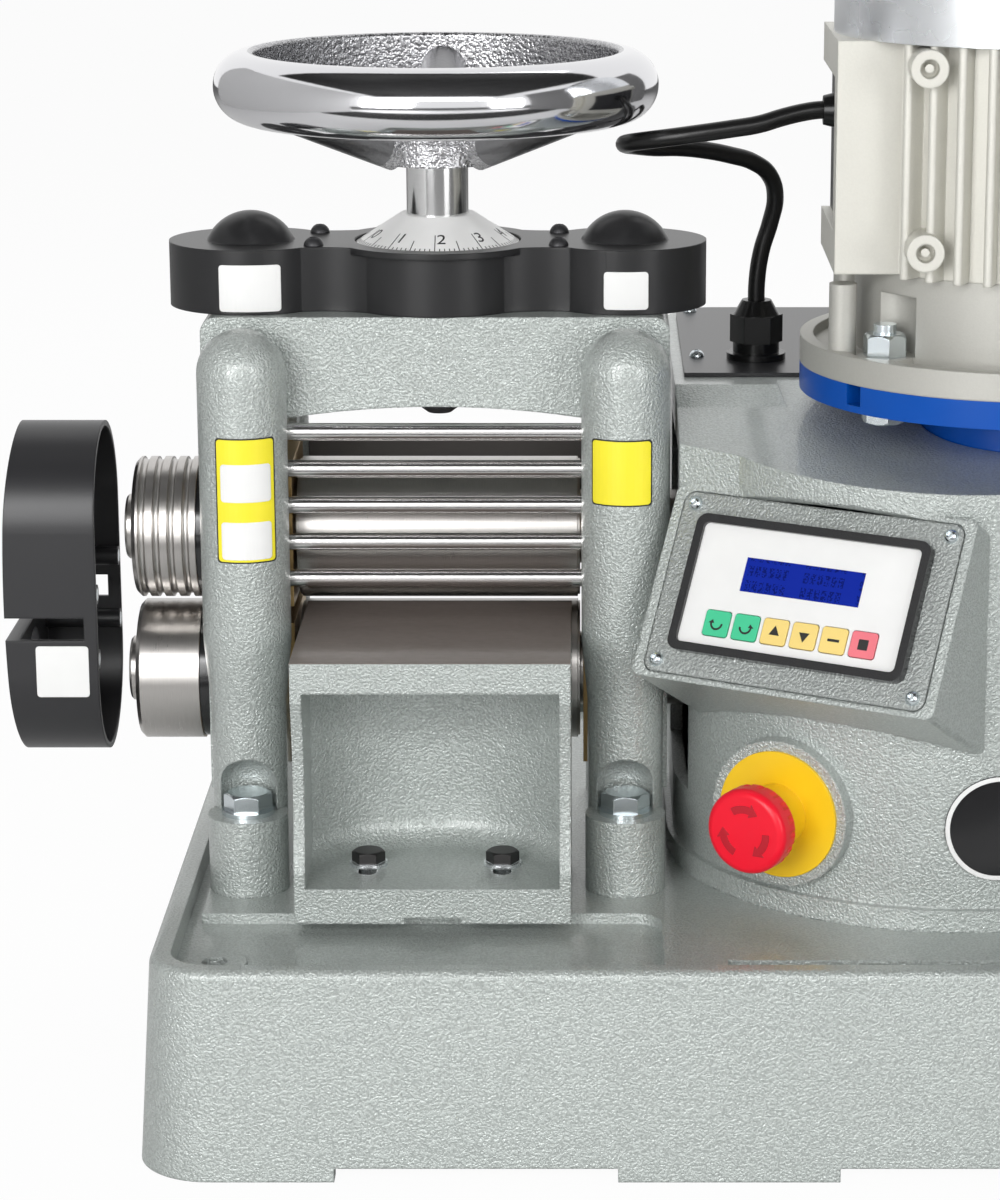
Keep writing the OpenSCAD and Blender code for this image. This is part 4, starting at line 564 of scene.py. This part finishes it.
NODE_FINISHES: dict[str, Finish] = {
    "base_casting": Palette.casting,
    "mill_frame": Palette.casting,
    "frame_bolts": Palette.zinc,
    "rest_table": Palette.table,
    "table_bolts": Palette.washer_bolt,
    "guide_bars": Palette.bar_steel,
    "lower_blocks": Palette.bronze,
    "gear_cover": Palette.black_cover,
    "cover_screws": Palette.oxide,
    "gear_housing": Palette.casting,
    "panel_plate": Palette.panel_paint,
    "case_screws": Palette.zinc,
    "keypad_bezel": Palette.black_gloss,
    "keypad_face": Palette.face_white,
    "lcd_window": Palette.display,
    "stop_plate": Palette.yellow,
    "badge_disc": Palette.black_gloss,
    "rear_cover": Palette.black_paint,
    "cable_glands": Palette.gland_black,
    "motor_cable": Palette.rubber,
    "reducer_case": Palette.blue,
    "motor_flange": Palette.flange_alloy,
    "motor_body": Palette.alloy,
    "terminal_lid": Palette.black_grain,
    "fan_cowl": Palette.cowl,
    "motor_bolts": Palette.zinc,
    "rear_shield": Palette.dark_steel,
    "handwheel": Palette.chrome,
    "handwheel_shaft": Palette.shaft_steel,
    "dial": Palette.dial_white,
    "shaft_retainer": Palette.oxide,
    "idler_left": Palette.shaft_steel,
    "idler_right": Palette.shaft_steel,
    "lifting_nut_left": Palette.bronze,
    "lifting_nut_right": Palette.bronze,
    "upper_blocks": Palette.bronze,
    "lifting_screws": Palette.shaft_steel,
    "top_roll": Palette.ground_steel,
    "top_side_roll": Palette.ground_steel,
    "top_spacer": Palette.black_gloss,
    "top_roll_gear": Palette.shaft_steel,
    "bottom_roll": Palette.ground_steel,
    "bottom_side_roll": Palette.ground_steel,
    "bottom_spacer": Palette.black_gloss,
    "bottom_roll_gear": Palette.shaft_steel,
    "worm_wheel": Palette.bronze,
    "motor_rotor": Palette.shaft_steel,
    "motor_fan": Palette.black_grain,
    "guard": Palette.black_grain,
    "guard_magnets": Palette.zinc,
    "stop_stem": Palette.black_gloss,
    "stop_head": Palette.red,
    "key_1": Palette.key_green,
    "key_2": Palette.key_green,
    "key_3": Palette.key_yellow,
    "key_4": Palette.key_yellow,
    "key_5": Palette.key_yellow,
    "key_6": Palette.key_red,
}


class Workshop:
    """Modelling steps that the pieces share."""

    def __init__(self, palette: Palette) -> None:
        """Keeps the palette that pieces are painted from."""
        self.palette = palette

    @staticmethod
    def clear_selection() -> None:
        """Leaves object mode with nothing selected."""
        if bpy.context.object is not None and bpy.context.object.mode != "OBJECT":
            bpy.ops.object.mode_set(mode="OBJECT")
        bpy.ops.object.select_all(action="DESELECT")

    @staticmethod
    def apply_place(obj: bpy.types.Object) -> None:
        """Moves an object's place, turn and scale into its mesh."""
        bpy.context.view_layer.objects.active = obj
        obj.select_set(True)
        bpy.ops.object.transform_apply(location=True, rotation=True, scale=True)

    def plate(
        self, name: str, width: float, height: float, thick: float, corner: float,
    ) -> bpy.types.Object:
        """Models a flat plate with round corners and softened edges, standing up and facing -Y.

        Args:
            name: the piece's name.
            width: size along X.
            height: size along Z.
            thick: size along Y, from 0 out to -thick.
            corner: radius of the corners.

        Returns:
            The plate, centred on the origin.
        """
        self.clear_selection()
        bpy.ops.mesh.primitive_cube_add(size=1, location=(0, -thick / 2, 0))
        obj = bpy.context.object
        obj.name = name
        obj.scale = (width, thick, height)
        self.apply_place(obj)
        bpy.ops.object.mode_set(mode="EDIT")
        bpy.ops.mesh.select_mode(type="EDGE")
        bpy.ops.mesh.select_all(action="DESELECT")
        bpy.ops.object.mode_set(mode="OBJECT")
        for edge in obj.data.edges:
            first, second = (obj.data.vertices[i].co for i in edge.vertices)
            edge.select = abs(first.y - second.y) > thick / 2
        bpy.ops.object.mode_set(mode="EDIT")
        bpy.ops.mesh.bevel(offset=corner, segments=5)
        bpy.ops.object.mode_set(mode="OBJECT")
        return obj

    def slice_upright(self, obj: bpy.types.Object, width: float, count: int) -> None:
        """Cuts a plate into upright strips so that it can follow a round surface."""
        bpy.context.view_layer.objects.active = obj
        bpy.ops.object.mode_set(mode="EDIT")
        for i in range(1, count):
            bpy.ops.mesh.select_all(action="SELECT")
            at = -width / 2 + width * i / count
            bpy.ops.mesh.bisect(plane_co=(at, 0, 0), plane_no=(1, 0, 0))
        bpy.ops.object.mode_set(mode="OBJECT")

    @staticmethod
    def move_points(obj: bpy.types.Object, rule: Callable[[Vector], Vector]) -> None:
        """Moves every point of a mesh by a rule."""
        for vertex in obj.data.vertices:
            vertex.co = rule(vertex.co)
        obj.data.update()

    def wrap(self, obj: bpy.types.Object, middle: Point, radius: float, turn: float) -> None:
        """Lays a sliced plate round an upright cylinder.

        Args:
            obj: the plate, facing -Y.
            middle: the point on the cylinder's axis at the plate's height.
            radius: the cylinder's radius.
            turn: angle of the plate's middle from -Y towards +X, in radians.
        """

        def rule(point: Vector) -> Vector:
            angle = turn + point.x / radius
            out = radius - point.y
            return Vector((
                middle[0] + out * math.sin(angle), middle[1] - out * math.cos(angle),
                middle[2] + point.z))

        self.move_points(obj, rule)

    def join(self, name: str, parts: Sequence[bpy.types.Object]) -> bpy.types.Object:
        """Joins parts into one object of that name."""
        self.clear_selection()
        for part in parts:
            part.select_set(True)
        bpy.context.view_layer.objects.active = parts[0]
        bpy.ops.object.join()
        joined = bpy.context.object
        joined.name = name
        return joined

    def bent_arrow(
        self, radius: float, width: float, sweep: float, thick: float, start: float,
        clockwise: bool = True, head_size: float = 1.9,
    ) -> list[bpy.types.Object]:
        """Models a bent arrow that lies flat round the origin and faces +Z.

        Args:
            radius: radius of the middle of its shaft.
            width: width of its shaft.
            sweep: angle that the shaft covers, in radians.
            thick: its thickness.
            start: angle of the middle of the shaft, in radians.
            clockwise: which way it points.
            head_size: width of its head, in widths of the shaft.

        Returns:
            The shaft and the head.
        """
        length = sweep * radius
        tip = width * head_size * 0.32
        shaft = self.plate("arrow_shaft", length, width, thick, width * 0.1)
        self.slice_upright(shaft, length, 16)
        head = self.plate("arrow_head", 2 * tip, width * head_size, thick, width * 0.06)
        self.move_points(head, lambda p: Vector((p.x, p.y, p.z * (tip - p.x) / (2 * tip))))
        self.move_points(head, lambda p: Vector((p.x + length / 2 + tip, p.y, p.z)))
        way = -1 if clockwise else 1

        def bend(point: Vector) -> Vector:
            angle = start + way * point.x / radius
            out = radius + point.z
            return Vector((out * math.cos(angle), out * math.sin(angle), -point.y))

        for part in (shaft, head):
            self.move_points(part, bend)
            if not clockwise:
                part.data.flip_normals()
        return [shaft, head]

    def hand_over(self, obj: bpy.types.Object, finish: Finish, body: str, slot: str) -> None:
        """Paints a finished piece and sets it riding on a body.

        Args:
            obj: the piece.
            finish: its finish.
            body: the body that it moves with.
            slot: a material slot's name, not used.
        """
        obj.data.materials.clear()
        obj.data.materials.append(self.palette.get(finish))
        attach(obj, body)
        LOG.info("piece %s rides on %s", obj.name, body)


@dataclass(frozen=True)
class Lamp:
    """A soft light: its place, width and height, watts, and whether shiny surfaces show it."""

    name: str
    at: Point
    size: tuple[float, float]
    power: float
    mirrored: bool = True


@dataclass(frozen=True)
class Card:
    """A grey card beside the shot: its middle, size, turn about Y, and tone from 0, black, to 1."""

    name: str
    at: Point
    size: tuple[float, float]
    lean: float
    tone: float


@dataclass
class Studio:
    """Camera, lights, floor and background."""

    camera_at: Point = (-0.0589, -1.6092, 0.6082)
    camera_pitch: float = math.radians(14.3)
    lens: float = 106.2
    sensor: float = 36.0
    shift: float = -0.075
    floor_size: float = 12.0
    floor_tone: float = 0.90
    floor_white: float = 0.96
    floor_below: float = 0.4 * MM
    sky_fill: float = 0.13
    lamps: tuple[Lamp, ...] = (
        Lamp("key_left", (-0.85, -1.80, 0.75), (0.9, 1.0), 20.5),
        Lamp("key_right", (1.10, -1.6, 0.6), (0.6, 0.9), 8.0),
        Lamp("front_strip", (0.1, -2.0, 1.25), (1.8, 0.30), 10.0),
        Lamp("top_soft", (-0.1, 0.35, 1.7), (1.4, 0.6), 5.5),
        Lamp("rear_soft", (0.4, 1.9, 1.7), (2.0, 0.7), 20.0, mirrored=False))
    cards: tuple[Card, ...] = (
        Card("card_floor", (0.0, -0.86, 0.002), (2.6, 0.62), 0.0, 0.012),
        Card("card_left", (-1.05, 0.10, 0.60), (1.3, 2.4), math.pi / 2, 0.72),
        Card("card_right", (1.15, 0.10, 0.60), (1.3, 2.4), -math.pi / 2, 0.20),
        Card("card_over", (0.0, -0.65, 1.55), (2.4, 2.5), 0.0, 0.03))
    aim: Point = (0.0, 0.0, 0.22)

    def build(self) -> None:
        """Sets up the shot."""
        self._camera()
        self._background()
        self._floor()
        for lamp in self.lamps:
            self._lamp(lamp)
        for card in self.cards:
            self._card(card)
        bpy.context.scene.view_settings.view_transform = "Standard"

    def _camera(self) -> None:
        """Adds the camera at the photograph's angle."""
        data = bpy.data.cameras.new("camera")
        data.lens = self.lens
        data.sensor_width = self.sensor
        data.shift_x = self.shift
        data.clip_end = 50.0
        camera = bpy.data.objects.new("camera", data)
        camera.location = self.camera_at
        camera.rotation_euler = (math.pi / 2 - self.camera_pitch, 0.0, 0.0)
        bpy.context.scene.collection.objects.link(camera)
        bpy.context.scene.camera = camera

    def _background(self) -> None:
        """Makes a white background for what is seen and mirrored, and a softer fill light."""
        graph = Graph(bpy.data.worlds.new("studio"))
        seen = graph.light_path("Is Camera Ray")
        for ray in ("Is Glossy Ray", "Is Transmission Ray"):
            seen = graph.math("MAXIMUM", seen, graph.light_path(ray))
        strength = self.sky_fill + seen * (1.0 - self.sky_fill)
        white = opaque((1.0, 1.0, 1.0))
        light = graph.node("ShaderNodeBackground", inputs={"Color": white, "Strength": strength})
        bpy.context.scene.world = graph.show(light)

    def _floor(self) -> None:
        """Lays a pale floor that keeps the shadow."""
        bpy.ops.object.select_all(action="DESELECT")
        bpy.ops.mesh.primitive_plane_add(size=self.floor_size)
        floor = bpy.context.object
        floor.name = "floor"
        floor.location.z = -self.floor_below
        graph = Graph.of_material("floor_pale")
        share = graph.light_path("Is Camera Ray") * self.floor_white
        tone = opaque((self.floor_tone, self.floor_tone, self.floor_tone))
        matt = graph.node("ShaderNodeBsdfDiffuse", inputs={"Color": tone})
        white = graph.node("ShaderNodeEmission")
        mixed = graph.node("ShaderNodeMixShader", inputs={0: share, 1: matt, 2: white})
        floor.data.materials.append(graph.show(mixed))

    @staticmethod
    def _card(spec: Card) -> None:
        """Adds a card that only glossy surfaces see."""
        bpy.ops.object.select_all(action="DESELECT")
        bpy.ops.mesh.primitive_plane_add(size=1, location=spec.at, rotation=(0.0, spec.lean, 0.0))
        card = bpy.context.object
        card.name = spec.name
        card.scale = (*spec.size, 1.0)
        card.visible_camera = False
        card.visible_diffuse = False
        card.visible_shadow = False
        tone = (spec.tone, spec.tone, spec.tone)
        graph = Graph.of_material(spec.name)
        card.data.materials.append(graph.dress(Base_Color=tone, Roughness=0.9))

    def _lamp(self, spec: Lamp) -> None:
        """Adds a soft light aimed at the middle of the mill."""
        data = bpy.data.lights.new(spec.name, "AREA")
        data.shape = "RECTANGLE"
        data.size, data.size_y = spec.size
        data.energy = spec.power
        lamp = bpy.data.objects.new(spec.name, data)
        lamp.location = spec.at
        aim = Vector(self.aim) - Vector(spec.at)
        lamp.rotation_euler = aim.to_track_quat("-Z", "Y").to_euler()
        lamp.visible_camera = False
        lamp.visible_glossy = spec.mirrored
        bpy.context.scene.collection.objects.link(lamp)


@dataclass
class MotorLead:
    """The lead from the gland on the rear cover to the motor's terminal box."""

    route_mm: tuple[Point, ...] = (
        (20, 51, 326), (20, 51, 340), (22, 51, 355), (26, 50, 369), (28, 47, 381), (25, 42, 392),
        (17, 36, 399), (6, 30, 403), (-6, 24, 406), (-18, 17, 408), (-29, 9, 409), (-38, -1, 411),
        (-43, -12, 413), (-42, -23, 415), (-35, -31, 417), (-24, -36, 419), (-11, -38, 421),
        (3, -38, 423), (16, -37, 425), (27, -35, 428), (36, -34, 430), (43, -34, 431), (48, -34, 431))
    diameter: float = 8 * MM
    length: float = 0.270

    def build(self, shop: Workshop) -> None:
        curve = bpy.data.curves.new("motor_lead", "CURVE")
        curve.dimensions = "3D"
        curve.bevel_depth = self.diameter / 2
        curve.bevel_resolution = 6
        curve.resolution_u = 6
        curve.use_fill_caps = True
        spline = curve.splines.new("BEZIER")
        spline.bezier_points.add(len(self.route_mm) - 1)
        for knot, point in zip(spline.bezier_points, self.route_mm):
            knot.co = Vector(point) * MM
            knot.handle_left_type = "AUTO"
            knot.handle_right_type = "AUTO"
        lead = bpy.data.objects.new("motor_lead", curve)
        bpy.context.scene.collection.objects.link(lead)
        shop.hand_over(lead, Palette.rubber, "mill", "cable_black")
        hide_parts("motor_cable")
        exit_point = tuple(Vector(self.route_mm[0]) * MM)


@dataclass
class DialMarks:
    """Numbers and division lines on the dial's cone."""

    number_count: int = 10
    front_number: int = 2
    number_height: float = 6.6 * MM
    number_aside: float = 2.8 * MM
    number_foot: float = 6.0 * MM
    type_per_height: float = 1.35
    lines_per_number: int = 10
    long_line: float = 11.0 * MM
    half_line: float = 7.0 * MM
    short_line: float = 2.0 * MM
    line_w: float = 0.42 * MM
    line_foot: float = 0.8 * MM
    rim_height: float = 2 * MM
    top_r: float = 17 * MM
    thick: float = 0.12 * MM

    def build(self, shop: Workshop) -> None:
        """Models the numbers and lines and lays them on the cone."""
        low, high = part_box("dial")
        middle = (low + high) / 2
        base_r = (high.x - low.x) / 2
        edge_z = low.z + self.rim_height
        slope = math.atan2(high.z - edge_z, base_r - self.top_r)
        parts = []
        for i in range(self.number_count):
            turn = (i - self.front_number) * math.tau / self.number_count
            parts.append(self._number(shop, str(i)))
            self._lay(shop, parts[-1], middle, base_r, edge_z, slope, turn)
        for i in range(self.number_count * self.lines_per_number):
            length = self._line_length(i)
            parts.append(self._line(shop, length))
            turn = i * math.tau / (self.number_count * self.lines_per_number)
            self._lay(shop, parts[-1], middle, base_r, edge_z, slope, turn)
        shop.hand_over(shop.join("dial_marks", parts), Palette.mark_black, "handwheel", "dial_white")

    def _line_length(self, i: int) -> float:
        """Gives the length of line i: long at a number, middling half way, else short."""
        if i % self.lines_per_number == 0:
            return self.long_line
        return self.half_line if i % (self.lines_per_number // 2) == 0 else self.short_line

    def _number(self, shop: Workshop, text: str) -> bpy.types.Object:
        """Models one number lying flat, facing +Z, its foot part way up the slope."""
        shop.clear_selection()
        bpy.ops.object.text_add(location=(self.number_aside, self.number_foot, 0))
        obj = bpy.context.object
        obj.data.body = text
        obj.data.align_x = "CENTER"
        obj.data.size = self.number_height * self.type_per_height
        obj.data.extrude = self.thick / 2
        bpy.ops.object.convert(target="MESH")
        shop.apply_place(bpy.context.object)
        return bpy.context.object

    def _line(self, shop: Workshop, length: float) -> bpy.types.Object:
        """Models one division line lying flat, from the foot of the slope up."""
        shop.clear_selection()
        bpy.ops.mesh.primitive_cube_add(size=1, location=(0, self.line_foot + length / 2, 0))
        obj = bpy.context.object
        obj.scale = (self.line_w, length, self.thick)
        shop.apply_place(obj)
        return obj

    @staticmethod
    def _lay(
        shop: Workshop, obj: bpy.types.Object, middle: Vector, base_r: float, edge_z: float,
        slope: float, turn: float,
    ) -> None:
        """Bends a flat mark on to the cone: X runs round it and Y up its slope."""

        def rule(point: Vector) -> Vector:
            radius = base_r - point.y * math.cos(slope)
            angle = turn + point.x / radius
            out = radius + point.z * math.sin(slope)
            height = edge_z + point.y * math.sin(slope) + point.z * math.cos(slope)
            return Vector((
                middle.x + out * math.sin(angle), middle.y - out * math.cos(angle), height))

        shop.move_points(obj, rule)


@dataclass(frozen=True)
class RoundPlate:
    """A bare plate on a round upright surface, by its middle and size."""

    name: str
    axis: tuple[float, float]
    radius: float
    turn_deg: float
    middle_z: float
    width: float
    height: float
    finish: Finish
    slot: str
    lift: float = 0.0


@dataclass
class BarePlates:
    """Plain plates on the columns, the gear cover and the guard."""

    thick: float = 0.35 * MM
    corner: float = 1.6 * MM
    strips: int = 14
    border: float = 0.6 * MM
    layer: float = 0.1 * MM
    guard_side: float = 24 * MM
    guard_x: float = -0.2993
    guard_z: float = 0.1778

    def build(self, shop: Workshop) -> None:
        """Models every plate."""
        column_r = 19.75 * MM
        lobe_r = 37 * MM
        left = (-0.213, -0.070)
        right = (-0.043, -0.070)
        plates = [
            *self._edged("column_plate_left", left, column_r, 8.5, 0.2655, (26.5 * MM, 55 * MM)),
            RoundPlate("column_plate_left_upper_panel", left, column_r, 8.5, 0.2735, 23 * MM, 17 * MM,
                       Palette.face_white, "white_face", 2 * self.layer),
            RoundPlate("column_plate_left_lower_panel", left, column_r, 8.5, 0.2475, 23 * MM, 17 * MM,
                       Palette.face_white, "white_face", 2 * self.layer),
            *self._edged("column_plate_right", right, column_r, -7.0, 0.278, (27.5 * MM, 28.5 * MM)),
            RoundPlate("cover_plate_left", (-0.213, -0.010), lobe_r, 4.0, 0.3530, 28 * MM, 21 * MM,
                       Palette.face_white, "white_face"),
            RoundPlate("cover_plate_right", (-0.043, -0.010), lobe_r, 0.3, 0.3520, 20 * MM, 17 * MM,
                       Palette.face_white, "white_face"),
        ]
        for spec in plates:
            self._round_plate(shop, spec)
        self._guard_plate(shop)

    def _edged(
        self, name: str, axis: tuple[float, float], radius: float, turn_deg: float,
        middle_z: float, size: tuple[float, float],
    ) -> list[RoundPlate]:
        """Lists a yellow plate and the thin dark line round it."""
        width, height = (side + 2 * self.border for side in size)
        return [
            RoundPlate(f"{name}_edge", axis, radius, turn_deg, middle_z, width, height,
                       Palette.mark_black, "yellow"),
            RoundPlate(name, axis, radius, turn_deg, middle_z, *size,
                       Palette.plate_yellow, "yellow", self.layer)]

    def _round_plate(self, shop: Workshop, spec: RoundPlate) -> None:
        """Models one plate and wraps it round its surface."""
        plate = shop.plate(spec.name, spec.width, spec.height, self.thick, self.corner)
        shop.slice_upright(plate, spec.width, self.strips)
        middle = (spec.axis[0], spec.axis[1], spec.middle_z)
        shop.wrap(plate, middle, spec.radius + spec.lift, math.radians(spec.turn_deg))
        shop.hand_over(plate, spec.finish, "mill", spec.slot)

    def _guard_plate(self, shop: Workshop) -> None:
        """Models the plate on the guard's flat front."""
        low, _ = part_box("guard")
        plate = shop.plate("guard_plate", self.guard_side, self.guard_side, self.thick, self.corner)
        at = Vector((self.guard_x, low.y, self.guard_z))
        shop.move_points(plate, lambda point: point + at)
        shop.hand_over(plate, Palette.face_white, "guard", "white_face")


@dataclass
class BadgeRing:
    """The white edge line of the round badge on the drum."""

    drum_r: float = 126 * MM
    drum_axis: tuple[float, float] = (0.106, -0.020)
    badge_r: float = 23.5 * MM
    ring_w: float = 2.0 * MM
    proud: float = 1.35 * MM
    inset: float = 0.1 * MM
    thick: float = 0.25 * MM
    points: int = 96

    def build(self, shop: Workshop) -> None:
        """Spins a thin band and bends it round the drum."""
        low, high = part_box("badge_disc")
        shop.clear_selection()
        inner_r = self.badge_r - self.ring_w - self.inset
        bpy.ops.mesh.primitive_circle_add(
            vertices=self.points, radius=inner_r, rotation=(math.pi / 2, 0, 0))
        ring = bpy.context.object
        ring.name = "badge_ring"
        shop.apply_place(ring)
        bpy.ops.object.mode_set(mode="EDIT")
        bpy.ops.mesh.select_all(action="SELECT")
        grow = (self.badge_r - self.inset) / inner_r
        bpy.ops.mesh.extrude_edges_move()
        bpy.ops.transform.resize(value=(grow, 1, grow))
        bpy.ops.object.mode_set(mode="OBJECT")
        middle_z = (low.z + high.z) / 2
        middle_x = (low.x + high.x) / 2
        turn = math.asin((middle_x - self.drum_axis[0]) / self.drum_r)
        reach = self.drum_r + self.proud
        shop.wrap(ring, (*self.drum_axis, middle_z), reach, turn)
        thicken = ring.modifiers.new("thick", "SOLIDIFY")
        thicken.thickness = self.thick
        thicken.offset = 1.0
        bpy.context.view_layer.objects.active = ring
        bpy.ops.object.modifier_apply(modifier="thick")
        shop.hand_over(ring, Palette.face_white, "mill", "white_face")


@dataclass
class PanelSigns:
    """Plain signs on the keys of the control panel."""

    key_count: int = 6
    key_pitch: float = 14.1 * MM
    key_down: float = 17 * MM
    key_top: float = 3.8 * MM
    thick: float = 0.12 * MM
    arrow_r: float = 2.9 * MM
    arrow_edge: float = 0.03 * MM
    ring_r: float = 2.6 * MM
    ring_w: float = 0.85 * MM
    ring_sweep: float = math.radians(180)
    ring_head: float = 3.2
    bar: tuple[float, float] = (5.6 * MM, 1.2 * MM)
    block: tuple[float, float] = (4.6 * MM, 4.6 * MM)
    bar_corner: float = 0.3 * MM

    def frame(self) -> Matrix:
        """Gives the panel's own axes: X across, Y up its face, Z out of it."""
        turn = Matrix.Rotation(-PANEL_YAW, 4, "Z") @ Matrix.Rotation(math.pi / 2 - PANEL_TILT, 4, "X")
        return Matrix.Translation(PANEL_AT) @ turn

    def build(self, shop: Workshop) -> None:
        """Models an arrow or bar on each key."""
        self._arrow(shop, "key_3_sign", 2, math.pi / 2, "key_3", "key_yellow")
        self._arrow(shop, "key_4_sign", 3, -math.pi / 2, "key_4", "key_yellow")
        self._round_arrow(shop, "key_1_sign", 0, True, "key_1", "key_green")
        self._round_arrow(shop, "key_2_sign", 1, False, "key_2", "key_green")
        self._bar(shop, "key_5_sign", 4, self.bar, "key_5", "key_yellow")
        self._bar(shop, "key_6_sign", 5, self.block, "key_6", "key_red")

    def _key_middle(self, index: int) -> Vector:
        """Gives a key's middle in the panel's axes."""
        return Vector(((index - (self.key_count - 1) / 2) * self.key_pitch, -self.key_down, self.key_top))

    def _settle(self, shop: Workshop, obj: bpy.types.Object, index: int, body: str, slot: str) -> None:
        """Lays a flat sign on its key."""
        place = self.frame() @ Matrix.Translation(self._key_middle(index))
        obj.data.transform(place)
        shop.hand_over(obj, Palette.mark_black, body, slot)

    def _arrow(self, shop: Workshop, name: str, index: int, turn: float, body: str, slot: str) -> None:
        """Models a solid triangle pointing along turn."""
        shop.clear_selection()
        bpy.ops.mesh.primitive_cylinder_add(
            vertices=3, radius=self.arrow_r, depth=self.thick, rotation=(0, 0, turn - math.pi / 2))
        obj = bpy.context.object
        obj.name = name
        shop.apply_place(obj)
        bpy.ops.object.mode_set(mode="EDIT")
        bpy.ops.mesh.select_all(action="SELECT")
        bpy.ops.mesh.bevel(offset=self.arrow_edge, segments=1)
        bpy.ops.object.mode_set(mode="OBJECT")
        self._settle(shop, obj, index, body, slot)

    def _round_arrow(
        self, shop: Workshop, name: str, index: int, clockwise: bool, body: str, slot: str,
    ) -> None:
        """Models an open ring with an arrow head, for one way of turning."""
        parts = shop.bent_arrow(
            self.ring_r, self.ring_w, self.ring_sweep, self.thick, -math.pi / 2, clockwise,
            self.ring_head)
        self._settle(shop, shop.join(name, parts), index, body, slot)

    def _bar(
        self, shop: Workshop, name: str, index: int, size: tuple[float, float], body: str, slot: str,
    ) -> None:
        """Models a plain bar or block sign."""
        plate = shop.plate(name, *size, self.thick, self.bar_corner)
        shop.move_points(plate, lambda point: Vector((point.x, point.z, -point.y - self.thick / 2)))
        plate.data.flip_normals()
        self._settle(shop, plate, index, body, slot)


@dataclass
class StopArrows:
    """Three turn arrows on the face of the stop button, in darker red as painted shade so that they look
    sunken.
    """

    stop_at: Point = (0.024, -0.125, 0.133)
    face_out: float = 32.0 * MM
    radius: float = 10.5 * MM
    width: float = 3.4 * MM
    sweep: float = math.radians(48)
    thick: float = 0.15 * MM
    count: int = 3
    first_turn: float = math.radians(100)

    def build(self, shop: Workshop) -> None:
        """Models the arrows and sets them on the button's face."""
        parts = []
        for i in range(self.count):
            start = self.first_turn + i * math.tau / self.count
            parts += shop.bent_arrow(self.radius, self.width, self.sweep, self.thick, start)
        arrows = shop.join("stop_arrows", parts)
        turn = Matrix.Rotation(-PANEL_YAW, 4, "Z") @ Matrix.Rotation(math.pi / 2, 4, "X")
        out = Matrix.Translation((0, 0, self.face_out))
        arrows.data.transform(Matrix.Translation(self.stop_at) @ turn @ out)
        # The arrows' darker red is painted recess shade.
        shop.hand_over(arrows, Palette.red_deep, "stop_head", "red")


def paint_nodes(frame: dict[str, Any], palette: Palette) -> None:
    """Gives every solid its finish.

    Args:
        palette: the finishes.
    """
    for name, obj in frame["nodes"].items():
        obj.data.materials.clear()
        obj.data.materials.append(palette.get(NODE_FINISHES[name]))
        LOG.info("node %s has finish %s", name, NODE_FINISHES[name].name)


def main() -> None:
    """Loads the solids, dresses them and sets the shot."""
    logging.basicConfig(level=logging.INFO, format="%(asctime)s %(message)s")
    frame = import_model()
    palette = Palette()
    shop = Workshop(palette)
    Studio().build()
    MotorLead().build(shop)
    paint_nodes(frame, palette)
    DialMarks().build(shop)
    BarePlates().build(shop)
    BadgeRing().build(shop)
    PanelSigns().build(shop)
    StopArrows().build(shop)


if __name__ == "__main__":
    main()
